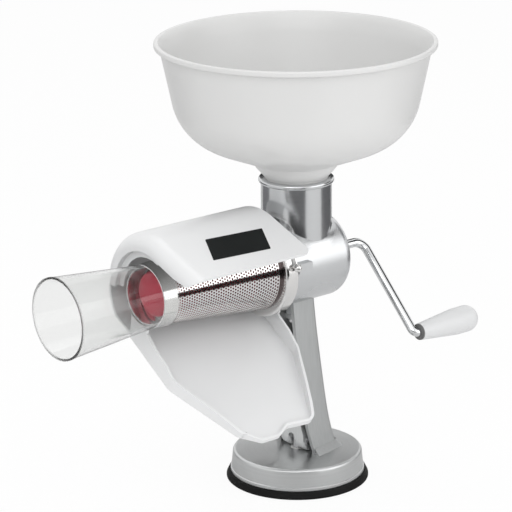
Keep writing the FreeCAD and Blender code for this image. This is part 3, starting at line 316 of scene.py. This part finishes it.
# %% A metal finish
def metal(name, pattern, colour, gloss, depth=0.12, marks=0.1, turn=(0, 0, 0),
          centre=(0, 0, 0)):
    """A metal finish whose marks follow a pattern, turned and centred on the piece."""
    material, shader = shader_of(name)
    tree = material.node_tree
    where = add_node(tree, "TexCoord")
    mapping = add_node(tree, "Mapping", vector_type="TEXTURE")
    mapping.inputs["Location"].default_value = centre
    mapping.inputs["Rotation"].default_value = turn
    skin = place_skin(tree, shader, pattern, colour, depth, gloss, marks)
    wire(tree, (where, "Object", mapping, "Vector"), (mapping, "Vector", skin, "Vector"))
    shader.inputs["Metallic"].default_value = 1
    return material


# %% [markdown]
# ## The metals
# The column and the lever are sanded castings, the rings are polished, the screen is bright
# stainless sheet, and the crank's rod is chromed. What turns round the barrel's axis has its
# marks centred there.

# %% The metals
AXIS_HEIGHT = 0.2
ON_AXIS = (0, 0, AXIS_HEIGHT)
RIGHT_ANGLE = (0, math.radians(90), 0)

satin_casting = metal("satin_casting", brushed, (0.50, 0.51, 0.51), 0.36, turn=RIGHT_ANGLE)
lever_casting = metal("lever_casting", brushed, (0.80, 0.81, 0.81), 0.42, turn=RIGHT_ANGLE)
polished_ring = metal("polished_ring", turned, (0.86, 0.85, 0.84), 0.08, turn=RIGHT_ANGLE,
                      centre=ON_AXIS)
screen_steel = metal("screen_steel", brushed, (0.84, 0.81, 0.80), 0.01, marks=0.03)
# Painted shade: the inside of the screen and the walls of its holes are painted nearly black.
screen_inside_painted_shade = metal("screen_inside_painted_shade", brushed, (0.10, 0.075, 0.075), 0.6)
# Painted reflection: the plain band at the screen's back end is painted dark, for the dark that
# its rolled joint by the flange reflects.
screen_painted_dark_reflection = metal("screen_painted_dark_reflection", turned, (0.15, 0.12, 0.12), 0.10, turn=RIGHT_ANGLE,
                     centre=ON_AXIS)
chromed_rod = metal("chromed_rod", brushed, (0.76, 0.77, 0.78), 0.02, marks=0.03)
plated_steel = metal("plated_steel", brushed, (0.55, 0.55, 0.56), 0.25)
stainless = metal("stainless", turned, (0.62, 0.62, 0.63), 0.2)
print("with the metals:", len(bpy.data.materials))

# %% [markdown]
# ## The dish and the barrel
# Two metals need a little more. The dish shows the bright streaks that turned metal has across
# its marks, and the shader's anisotropy makes them. The barrel's casting is satin, but the feed
# tube on top of it is polished, so the gloss follows the distance from the tube's middle.

# %% The dish and the barrel
DISH_STREAKS = 0.6
turned_dish = metal("turned_dish", turned, (0.66, 0.67, 0.67), 0.26, depth=0.2, marks=0.25)
dish_tree = turned_dish.node_tree
dish_shader = dish_tree.nodes["Principled BSDF"]
dish_shader.inputs["Anisotropic"].default_value = DISH_STREAKS
round_dish = add_node(dish_tree, "Tangent", direction_type="RADIAL", axis="Z")
wire(dish_tree, (round_dish, "Tangent", dish_shader, "Tangent"))

TUBE_EDGE = 33.0 * MM
CAST_START = 35.5 * MM
CAST_GLOSS = 0.27
TUBE_GLOSS = 0.11
polished_casting = metal("polished_casting", turned, (0.69, 0.70, 0.71), CAST_GLOSS)
cast_tree = polished_casting.node_tree
cast_place = add_node(cast_tree, "TexCoord")
cast_flat = add_node(cast_tree, "VectorMath", {1: (1, 1, 0)}, operation="MULTIPLY")
from_tube = add_node(cast_tree, "VectorMath", operation="LENGTH")
gloss_by_radius = add_node(cast_tree, "MapRange", {"From Min": TUBE_EDGE, "From Max": CAST_START,
                                                   "To Min": TUBE_GLOSS, "To Max": CAST_GLOSS})
cast_skin = next(item for item in cast_tree.nodes if item.type == "GROUP")
wire(cast_tree, (cast_place, "Object", cast_flat, 0), (cast_flat, "Vector", from_tube, 0),
     (from_tube, "Value", gloss_by_radius, "Value"),
     (gloss_by_radius, "Result", cast_skin, "Gloss"))
print("streaks on", turned_dish.name, "and two glosses on", polished_casting.name)

# %% [markdown]
# ## The auger's red
# The auger is one red moulding. Its nose gets the light that falls in through the funnel. The
# flights behind it lie in the dark of the screen, and their red is painted much deeper, as painted
# shade.

# %% The auger's red
NOSE_START = -146 * MM
NOSE_END = -154 * MM
# Painted shade: the flights behind the nose get a much deeper red that stands in for the dark
# inside the screen.
PAINTED_SHADE_RED = (0.24, 0.008, 0.02, 1)
NOSE_RED = (0.60, 0.015, 0.055, 1)
red_tree = red_moulding.node_tree
red_place = add_node(red_tree, "TexCoord")
red_along = add_node(red_tree, "SeparateXYZ")
painted_shade_fade = add_node(red_tree, "MapRange", {"From Min": NOSE_START, "From Max": NOSE_END})
painted_shade_red_mix = add_node(red_tree, "Mix", {MIX_A: PAINTED_SHADE_RED, MIX_B: NOSE_RED}, data_type="RGBA")
red_skin = next(item for item in red_tree.nodes if item.type == "GROUP")
wire(red_tree, (red_place, "Object", red_along, "Vector"), (red_along, "X", painted_shade_fade, "Value"),
     (painted_shade_fade, "Result", painted_shade_red_mix, MIX_FACTOR), (painted_shade_red_mix, MIX_RESULT, red_skin, "Tint"),
     (painted_shade_red_mix, MIX_RESULT, red_skin, "Shade"))
print("the auger's red runs over", round((NOSE_START - NOSE_END) / MM), "mm")

# %% [markdown]
# ## Clear plastic
# The funnel is clear polystyrene. It is all transmission, with a little haze that drifts over
# it, because a piece without any haze looks like glass. The cut rim at its mouth is matt.

# %% Clear plastic
RIM_START = -253.2 * MM
RIM_END = -254.2 * MM
RIM_ROUGH = 0.7
LEAST_HAZE = 0.02
MOST_HAZE = 0.10
CLEAR_TINT = (0.875, 0.88, 0.875, 1)
CLEAR_BENDING = 1.38

clear_plastic, clear_shader = shader_of("clear_plastic")
clear_shader.inputs["Base Color"].default_value = CLEAR_TINT
clear_shader.inputs["IOR"].default_value = CLEAR_BENDING
clear_shader.inputs["Transmission Weight"].default_value = 1
clear_tree = clear_plastic.node_tree
clear_place = add_node(clear_tree, "TexCoord")
haze = add_node(clear_tree, "TexNoise", {"Scale": 18, "Detail": 2})
haze_range = add_node(clear_tree, "MapRange", {"To Min": LEAST_HAZE, "To Max": MOST_HAZE})
along = add_node(clear_tree, "SeparateXYZ")
rim_haze = add_node(clear_tree, "MapRange", {"From Min": RIM_START, "From Max": RIM_END,
                                             "To Max": RIM_ROUGH})
most = add_node(clear_tree, "Math", operation="MAXIMUM")
wire(clear_tree, (clear_place, "Object", haze, "Vector"), (haze, "Fac", haze_range, "Value"),
     (clear_place, "Object", along, "Vector"), (along, "X", rim_haze, "Value"),
     (haze_range, "Result", most, 0), (rim_haze, "Result", most, 1),
     (most, "Value", clear_shader, "Roughness"))
print("finishes:", len(bpy.data.materials))

# %% [markdown]
# ## Finishing a piece
# A finished piece has one material, rides on the body that it moves with, and hides the solid that
# it stands for. A narrow bevel gives a moulded edge the thin bright line that any real edge has.
# It is a modifier, so the mesh below it stays simple.

# %% Finishing a piece
BEVEL_OVER = math.radians(40)
BEVEL_STEPS = 2


def finish_mesh(mesh, name, body, material, replaced=(), bevel=0.0):
    """Makes a mesh an object that rides on a body, with its finish, and hides the nodes it stands
    for.
    """
    piece = bpy.data.objects.new(name, mesh)
    bpy.context.scene.collection.objects.link(piece)
    mesh.materials.clear()
    mesh.materials.append(material)
    if bevel:
        edge = piece.modifiers.new("edge", "BEVEL")
        edge.width = bevel
        edge.segments = BEVEL_STEPS
        edge.limit_method = "ANGLE"
        edge.angle_limit = BEVEL_OVER
        edge.harden_normals = True
    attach(piece, body)
    if replaced:
        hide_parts(*replaced)
    return piece


# %% [markdown]
# ## Dressing a solid
# A solid arrives as loose triangles. For a piece that shows, a copy of it is merged and shaded
# smooth, with sharp edges only where the real piece has them. Where a bevel is wanted, flat
# faces are made whole again first, or the bevel would follow the triangles.

# %% Dressed copies
SHARP_OVER = math.radians(30)
FLAT_WITHIN = math.radians(0.3)
SAME_POINT = 1e-6


def smooth_by_angle(bm, angle):
    """Shades every face smooth and keeps the edges over an angle sharp."""
    for face in bm.faces:
        face.smooth = True
    for edge in bm.edges:
        edge.smooth = edge.calc_face_angle(0) < angle


def into_mesh(bm, name):
    """Ends a bmesh as a mesh and says how large it is."""
    mesh = bpy.data.meshes.new(name)
    bm.to_mesh(mesh)
    bm.free()
    print(name, "faces", len(mesh.polygons))
    return mesh


def dress(node, name, material, bevel=0.0):
    """A merged, smoothly shaded copy of a solid that replaces it."""
    bm = bmesh.new()
    bm.from_mesh(nodes[node].data)
    bmesh.ops.remove_doubles(bm, verts=bm.verts, dist=SAME_POINT)
    if bevel:
        bmesh.ops.dissolve_limit(bm, angle_limit=FLAT_WITHIN, verts=bm.verts, edges=bm.edges)
    smooth_by_angle(bm, SHARP_OVER)
    finish_mesh(into_mesh(bm, name), name, nodes[node]["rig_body"], material, (node,), bevel)


# %% [markdown]
# ## Mouldings
# The hood and the chute are one white plastic, and the hopper a slightly greyer one. The hood
# and the chute have square edges in the drawing, which a moulding never has, so these two get
# the bevel. The hopper's rim is rolled already.

# %% White mouldings
MOULDED_EDGE = 0.35 * MM
dress("hopper", "hopper_bowl", hopper_white)
dress("squirt_guard", "hood_moulding", white_moulding, bevel=MOULDED_EDGE)
dress("juice_chute", "chute_moulding", white_moulding, bevel=MOULDED_EDGE)
dress("crank_grip", "crank_grip_moulded", white_grip)
dress("shaft_bushing", "shaft_bushing_white", nylon)

# %% [markdown]
# ## Stand
# The barrel and the column are castings, the dish is turned, and the cup's rim is rubber. Their
# edges are rounded in the drawing, so smooth shading is enough.

# %% Stand
dress("barrel_body", "barrel_casting", polished_casting)
dress("column", "column_casting", satin_casting)
dress("base_dish", "base_dish_turned", turned_dish)
dress("suction_cup", "suction_cup_rim", black_rubber)
dress("cam_lever", "cam_lever_casting", lever_casting)

# %% [markdown]
# ## Working parts
# The red auger is seen through the funnel's mouth and through the holes of the screen. The clear
# funnel, the bayonet ring with its ball studs, the small collar and the crank's rod complete
# what turns or is pulled off.

# %% Working parts
dress("auger", "auger_screw", red_moulding)
dress("auger_spring", "auger_spring_coil", plated_steel)
dress("crank_rod", "crank_rod_chromed", chromed_rod)
dress("waste_funnel", "clear_funnel", clear_plastic)
dress("screen_flange", "flange_ring", polished_ring)
dress("screen_end_collar", "collar_band", polished_ring)
dress("bayonet_studs", "ball_studs", polished_ring)

# %% [markdown]
# ## Small fittings
# Screws, pins, washers and the gasket stay as the drawing has them. They only need their finish,
# which is put on the solid itself.

# %% Small fittings
FITTINGS = (("base_screws", stainless), ("saddle_screws", stainless), ("stem_bush", nylon),
            ("thrust_washers", nylon), ("suction_stem", plated_steel),
            ("lever_pin", plated_steel), ("lever_clips", plated_steel),
            ("drive_pin", plated_steel), ("flange_gasket", black_rubber),
            ("grip_washer", dark_fibre))
for node, material in FITTINGS:
    nodes[node].data.materials.clear()
    nodes[node].data.materials.append(material)
print("small fittings:", len(FITTINGS))

# %% [markdown]
# ## The perforated screen
# The real screen is thin stainless sheet, punched with staggered round holes and rolled into a
# cone. It could be a picture of holes or a bump, but then the red auger wouldn't show through.
# So it is made from real holes, in the order of the workshop: one hole is punched, the sheet is
# filled with copies of it, and the flat sheet is rolled.

# %% Sizes of the screen
SCREEN_BACK_X = -46.6 * MM
SCREEN_BACK_R = 35.95 * MM
SCREEN_TIP_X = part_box("strainer_screen")[0].x
SCREEN_TIP_R = 25.0 * MM
SHEET = 0.55 * MM
HOLES_AROUND = 72
HOLE_SHARE = 0.32
HOLE_SIDES = 12
HOLES_START_X = -48.6 * MM
HOLES_END_X = -151.0 * MM
ROW_STEP = 2.4 * MM
ROW_HEIGHT = math.sqrt(3) / 2


def cone_radius(x):
    """Radius of the screen's outer face at x."""
    share = (x - SCREEN_BACK_X) / (SCREEN_TIP_X - SCREEN_BACK_X)
    return SCREEN_BACK_R + share * (SCREEN_TIP_R - SCREEN_BACK_R)


middle_radius = cone_radius((HOLES_START_X + HOLES_END_X) / 2)
print("holes:", HOLES_AROUND, "around, radius at the middle", round(middle_radius / MM, 1), "mm")

# %% [markdown]
# A patch one unit wide holds one hole. Two circles of twelve corners are made, and every other
# corner of the outer one is pulled in, which turns it into a hexagon with a point in the middle
# of each side. Bridging the two circles fills the sheet between them.

# %% One hole
HALF_PATCH = 0.5
PATCH_CORNER = 1 / math.sqrt(3)
CORNER_STEP = 2 * math.pi / HOLE_SIDES


def punched_patch(bm):
    """One round hole in a six-sided patch one unit across."""
    outer = bmesh.ops.create_circle(bm, segments=HOLE_SIDES, radius=PATCH_CORNER)["verts"]
    bmesh.ops.create_circle(bm, segments=HOLE_SIDES, radius=HOLE_SHARE)
    for vertex in outer:
        corner = round(math.atan2(vertex.co.y, vertex.co.x) / CORNER_STEP)
        if corner % 2 == 0:
            vertex.co *= HALF_PATCH / PATCH_CORNER
    bmesh.ops.bridge_loops(bm, edges=bm.edges[:])


def vertices_of(geometry):
    """The vertices among the elements that an operator has made."""
    return [item for item in geometry if isinstance(item, bmesh.types.BMVert)]


def copy_by(bm, geometry, shift):
    """One copy of some geometry, moved by a shift."""
    made = bmesh.ops.duplicate(bm, geom=geometry)["geom"]
    bmesh.ops.translate(bm, verts=vertices_of(made), vec=shift)


def everything(bm):
    """All vertices, edges and faces of a bmesh."""
    return bm.verts[:] + bm.edges[:] + bm.faces[:]


# %% [markdown]
# The sheet is made in two halves, each a row of patches repeated up the cone, with every second
# row shifted by half a patch. The corners where patches meet are then merged.

# %% The flat sheet
SHEET_ROWS = int((HOLES_START_X - HOLES_END_X) / ROW_STEP) + 1
SAME_CORNER = 1e-3


def flat_sheet():
    """A flat half of the screen, measured in patches."""
    bm = bmesh.new()
    punched_patch(bm)
    patch = everything(bm)
    for column in range(1, HOLES_AROUND // 2):
        copy_by(bm, patch, (column, 0, 0))
    row = everything(bm)
    for index in range(1, SHEET_ROWS):
        copy_by(bm, row, (HALF_PATCH * (index % 2), ROW_HEIGHT * index, 0))
    bmesh.ops.remove_doubles(bm, verts=bm.verts, dist=SAME_CORNER)
    return bm


print("rows of holes:", SHEET_ROWS)

# %% [markdown]
# Rolling gives each point an angle from its place along the row and a place along the cone from
# its row. The sheet then gets its thickness. The inside of the sheet and the walls of the holes
# are painted nearly black, as painted shade, because little light comes back out of them.

# %% Rolling the sheet
OUTWARD_SHARE = 0.5
SHEET_SHARP_OVER = math.radians(35)


def outwardness(face):
    """1 for a face that looks straight away from the barrel's axis, and -1 for the inside."""
    point = face.calc_center_median()
    from_axis = (point - Vector((point.x, 0, AXIS_HEIGHT))).normalized()
    return face.normal.dot(from_axis)


def rolled_half(name, first_column):
    """Half of the screen, rolled from a column of holes on, with its thickness."""
    bm = flat_sheet()
    for vertex in bm.verts:
        angle = 2 * math.pi * (vertex.co.x + first_column) / HOLES_AROUND
        x = HOLES_START_X - vertex.co.y / ROW_HEIGHT * ROW_STEP
        radius = cone_radius(x)
        vertex.co = (x, -radius * math.sin(angle), AXIS_HEIGHT + radius * math.cos(angle))
    bmesh.ops.recalc_face_normals(bm, faces=bm.faces)
    if outwardness(bm.faces[:][0]) < 0:
        bmesh.ops.reverse_faces(bm, faces=bm.faces)
    bmesh.ops.solidify(bm, geom=bm.faces[:], thickness=SHEET)
    bm.normal_update()
    for face in bm.faces:
        # Faces that don't look outward get the painted shade of the inside.
        face.material_index = 0 if outwardness(face) > OUTWARD_SHARE else 1
    smooth_by_angle(bm, SHEET_SHARP_OVER)
    return into_mesh(bm, name)


# %% [markdown]
# The two halves are rolled one after the other, because one piece of so many small faces would
# be thinned when it is exported. The first one stands for the plain cone of the drawing.

# %% The two halves
near = finish_mesh(rolled_half("screen_sheet_near", 0), "screen_sheet_near", "strainer",
                   screen_steel, ("strainer_screen",))
far = finish_mesh(rolled_half("screen_sheet_far", HOLES_AROUND // 2), "screen_sheet_far",
                  "strainer", screen_steel)
for half in (near, far):
    half.data.materials.append(screen_inside_painted_shade)

# %% [markdown]
# At both ends the sheet is left whole. These bands are spun: a profile of four corners is turned
# about the barrel's axis. They stand a hair proud of the sheet, so that the two never lie in the
# same place.

# %% The plain bands
BAND_PROUD = 0.04 * MM
BAND_THICK = 0.7 * MM
BAND_STEPS = 96
BACK_BAND_START = SCREEN_BACK_X + 2 * MM
BACK_BAND_END = HOLES_START_X - 0.9 * MM
TIP_BAND_START = HOLES_END_X + 1.5 * MM


def plain_band(name, start, end, material):
    """A ring of plain sheet between two places along the cone."""
    bm = bmesh.new()
    high_start = AXIS_HEIGHT + cone_radius(start) + BAND_PROUD
    high_end = AXIS_HEIGHT + cone_radius(end) + BAND_PROUD
    corners = ((start, 0, high_start), (end, 0, high_end), (end, 0, high_end - BAND_THICK),
               (start, 0, high_start - BAND_THICK))
    loop = [bm.verts.new(corner) for corner in corners]
    profile = bm.faces.new(loop)
    ring = profile.edges[:]
    bmesh.ops.delete(bm, geom=[profile], context="FACES_ONLY")
    bmesh.ops.spin(bm, geom=loop + ring, cent=ON_AXIS, axis=(1, 0, 0), angle=2 * math.pi,
                   steps=BAND_STEPS, use_merge=True)
    bmesh.ops.remove_doubles(bm, verts=bm.verts, dist=SAME_POINT)
    bmesh.ops.recalc_face_normals(bm, faces=bm.faces)
    smooth_by_angle(bm, SHARP_OVER)
    finish_mesh(into_mesh(bm, name), name, "strainer", material)


# The back band carries a painted dark reflection; the tip band is plain steel.
plain_band("screen_band_back", BACK_BAND_START, BACK_BAND_END, screen_painted_dark_reflection)
plain_band("screen_band_tip", TIP_BAND_START, SCREEN_TIP_X, screen_steel)

# %% [markdown]
# ## The bare label
# A small dark plate, plain and matt, is stuck on the hood's sloping top, a little askew. A
# flat square is scaled to the plate, its ends are leant over, its corners are rounded with a
# bevel, and it is pulled up to the thickness of card.

# %% The bare label
LABEL_LENGTH = 58.5 * MM
LABEL_WIDTH = 27.5 * MM
LABEL_LEAN = 0.42
LABEL_TILT = 0.055
LABEL_THICK = 0.25 * MM
LABEL_CORNER = 0.8 * MM
CORNER_STEPS = 4

label_bm = bmesh.new()
square = bmesh.ops.create_grid(label_bm, x_segments=1, y_segments=1, size=0.5)["verts"]
bmesh.ops.scale(label_bm, vec=(LABEL_LENGTH, LABEL_WIDTH, 1), verts=square)
for vertex in square:
    vertex.co.x += LABEL_LEAN * vertex.co.y
    vertex.co.y -= LABEL_TILT * vertex.co.x
bmesh.ops.bevel(label_bm, geom=square, offset=LABEL_CORNER, segments=CORNER_STEPS, profile=0.5,
                affect="VERTICES", material=-1)
pulled = bmesh.ops.extrude_face_region(label_bm, geom=label_bm.faces[:])["geom"]
bmesh.ops.translate(label_bm, verts=vertices_of(pulled), vec=(0, 0, LABEL_THICK))
print("label", round(LABEL_LENGTH / MM, 1), "by", round(LABEL_WIDTH / MM, 1), "mm")

# %% [markdown]
# The plate is then moved out from the barrel's axis to the height of the hood's top, and tilted
# about that axis to lie on the slope.

# %% The label on the hood
HOOD_SLOPE = math.radians(20.9)
HOOD_TOP = 53.5 * MM
LABEL_MIDDLE_X = -99.4 * MM
LABEL_MIDDLE_FRONT = 23.9 * MM

label_middle = Vector((LABEL_MIDDLE_X, -LABEL_MIDDLE_FRONT, HOOD_TOP))
bmesh.ops.translate(label_bm, verts=label_bm.verts, vec=label_middle)
bmesh.ops.rotate(label_bm, verts=label_bm.verts, cent=(0, 0, 0),
                 matrix=Matrix.Rotation(HOOD_SLOPE, 3, "X"))
bmesh.ops.translate(label_bm, verts=label_bm.verts, vec=ON_AXIS)
bmesh.ops.recalc_face_normals(label_bm, faces=label_bm.faces)
finish_mesh(into_mesh(label_bm, "bare_label"), "bare_label", "stand", label_skin)

# %% [markdown]
# ## The floor
# The photograph has a plain white ground. The floor is one pale plane, a hair below the rubber
# rim, so that the two never lie in the same place.

# %% The floor
FLOOR_SIZE = 12
FLOOR_DROP = 0.5 * MM

floor_bm = bmesh.new()
bmesh.ops.create_grid(floor_bm, x_segments=1, y_segments=1, size=FLOOR_SIZE / 2)
bmesh.ops.translate(floor_bm, verts=floor_bm.verts, vec=(0, 0, -FLOOR_DROP))
floor_mesh = into_mesh(floor_bm, "floor")
floor = bpy.data.objects.new("floor", floor_mesh)
bpy.context.scene.collection.objects.link(floor)

# %% [markdown]
# The camera, and a ray that has passed the clear funnel, see most of the floor as white, and the
# rest of it still takes the object's shadow. Polish sees it a little darker, as it would see a
# table. The Light Path node tells these rays apart.

# %% The floor's paint
FLOOR_WHITENESS = 0.92
FLOOR_TONE = 0.92
FLOOR_IN_METAL = 0.72
MATT = 0.9

floor_paint, floor_shader = shader_of("floor_paint")
floor_shader.inputs["Roughness"].default_value = MATT
floor_tree = floor_paint.node_tree
floor_path = add_node(floor_tree, "LightPath")
seen_straight = add_node(floor_tree, "Math", operation="MAXIMUM")
seen = add_node(floor_tree, "Math", {1: FLOOR_WHITENESS}, operation="MULTIPLY")
glow = add_node(floor_tree, "Emission")
floor_mix = add_node(floor_tree, "MixShader")
floor_tone = add_node(floor_tree, "MapRange", {"To Min": FLOOR_TONE, "To Max": FLOOR_IN_METAL})
wire(floor_tree, (floor_path, "Is Glossy Ray", floor_tone, "Value"),
     (floor_tone, "Result", floor_shader, "Base Color"),
     (floor_path, "Is Camera Ray", seen_straight, 0),
     (floor_path, "Is Transmission Ray", seen_straight, 1), (seen_straight, "Value", seen, 0),
     (seen, "Value", floor_mix, 0), (floor_shader, "BSDF", floor_mix, 1),
     (glow, "Emission", floor_mix, 2),
     (floor_mix, "Shader", floor_tree.nodes["Material Output"], "Surface"))
floor_mesh.materials.append(floor_paint)
print("floor's whiteness to the camera:", FLOOR_WHITENESS)

# %% [markdown]
# ## The room
# The world is white where the camera, polish and clear plastic see it, and dimmer as a lamp, so
# that pale plastic doesn't clip.

# %% The room
ROOM_LIGHT = 0.75
WHITE = (1, 1, 1, 1)

room = bpy.data.worlds.new("studio")
bpy.context.scene.world = room
room.use_nodes = True
sky = room.node_tree
sky_path = add_node(sky, "LightPath")
dim = sky.nodes["Background"]
dim.inputs["Color"].default_value = WHITE
dim.inputs["Strength"].default_value = ROOM_LIGHT
bright = add_node(sky, "Background", {"Color": WHITE, "Strength": 1})
camera_or_glossy = add_node(sky, "Math", operation="MAXIMUM")
or_through = add_node(sky, "Math", operation="MAXIMUM")
sky_mix = add_node(sky, "MixShader")
wire(sky, (sky_path, "Is Camera Ray", camera_or_glossy, 0),
     (sky_path, "Is Glossy Ray", camera_or_glossy, 1),
     (camera_or_glossy, "Value", or_through, 0), (sky_path, "Is Transmission Ray", or_through, 1),
     (or_through, "Value", sky_mix, 0), (dim, "Background", sky_mix, 1),
     (bright, "Background", sky_mix, 2), (sky_mix, "Shader", sky.nodes["World Output"], "Surface"))
bpy.context.scene.view_settings.view_transform = "Standard"
print("room light:", ROOM_LIGHT)

# %% [markdown]
# ## Lamps
# Three large soft lamps stand round the object: a key lamp on the left, a fill lamp low in
# front, and a weak one above. Large lamps give the soft shadow under the dish.

# %% Lamps
LAMP_AIM = Vector((-0.03, 0, 0.2))
LAMPS = (("key_lamp", (-1.4, -1.2, 1.6), 1.8, 15), ("fill_lamp", (0.9, -1.7, 0.6), 1.8, 9),
         ("top_lamp", (0.1, 0.4, 2.0), 1.4, 6))

for name, spot, size, power in LAMPS:
    lamp_data = bpy.data.lights.new(name, "AREA")
    lamp_data.size = size
    lamp_data.energy = power
    lamp = bpy.data.objects.new(name, lamp_data)
    bpy.context.scene.collection.objects.link(lamp)
    lamp.location = spot
    lamp.rotation_euler = (LAMP_AIM - Vector(spot)).to_track_quat("-Z", "Y").to_euler()
print("lamps:", len(LAMPS))

# %% [markdown]
# ## Dark cards
# Polished metal in an all white room looks like white plastic. A photographer holds dark cards
# just outside the picture, and their reflections are the dark bands that tell the eye that it
# is metal. These cards are seen by reflections alone.

# %% A dark card
CARD_BLUE = 1.05


def dark_card(name, centre, faces, width, height, tone):
    """A dark card that stands at a place, faces a point, and shows only in polish."""
    bm = bmesh.new()
    bmesh.ops.create_grid(bm, x_segments=1, y_segments=1, size=0.5)
    bmesh.ops.scale(bm, vec=(width, height, 1), verts=bm.verts)
    toward = (Vector(faces) - Vector(centre)).normalized()
    across = Vector((0, 0, 1)).cross(toward).normalized()
    turn = Matrix((across, toward.cross(across), toward)).transposed()
    bmesh.ops.rotate(bm, verts=bm.verts, cent=(0, 0, 0), matrix=turn)
    bmesh.ops.translate(bm, verts=bm.verts, vec=centre)
    card = bpy.data.objects.new(name, into_mesh(bm, name))
    bpy.context.scene.collection.objects.link(card)
    paint, shader = shader_of(name + "_paint")
    shader.inputs["Base Color"].default_value = (tone, tone, tone * CARD_BLUE, 1)
    shader.inputs["Roughness"].default_value = MATT
    card.data.materials.append(paint)
    card.visible_camera = False
    card.visible_diffuse = False
    card.visible_shadow = False
    card.visible_transmission = False


# %% [markdown]
# Low upright cards stand round the object at four angles, counted from the lens, and make the
# bands on the feed tube. Each is given its angle, how many degrees of the round it fills, and
# its tone. Three small ones stand where a mirror in the metal would show them to the lens, and
# make the dark lines on the screen, the barrel's top and the crank's rod.

# %% The cards in place
CARD_REACH = 0.62
CARD_HEIGHT = 0.17
UPRIGHT_CARDS = (("card_by_lens", 2, 54, 0.08), ("card_left", -119, 44, 0.20),
                 ("card_right", 117, 62, 0.13), ("card_behind", 178, 34, 0.08))
MIRROR_CARDS = (
    ("card_for_screen", (-0.078, -0.0832, 0.2022), (-0.078, -0.03, 0.2047), 0.118, 0.019, 0.0),
    ("card_for_barrel", (0.20, 0.22, 0.31), (0.02, 0, 0.24), 0.22, 0.22, 0.03),
    ("card_for_rod", (0.38, -0.12, 0.425), (0.09, -0.035, 0.165), 0.26, 0.24, 0.0))

level_to_lens = Vector((to_lens.x, to_lens.y, 0)).normalized()
card_middle = Vector((0, 0, CARD_HEIGHT / 2))
for name, degrees, span, tone in UPRIGHT_CARDS:
    from_lens = math.radians(degrees)
    outward = level_to_lens * math.cos(from_lens) + right * math.sin(from_lens)
    width = 2 * CARD_REACH * math.tan(math.radians(span) / 2)
    dark_card(name, outward * CARD_REACH + card_middle, card_middle, width, CARD_HEIGHT, tone)
for mirror_card in MIRROR_CARDS:
    dark_card(*mirror_card)
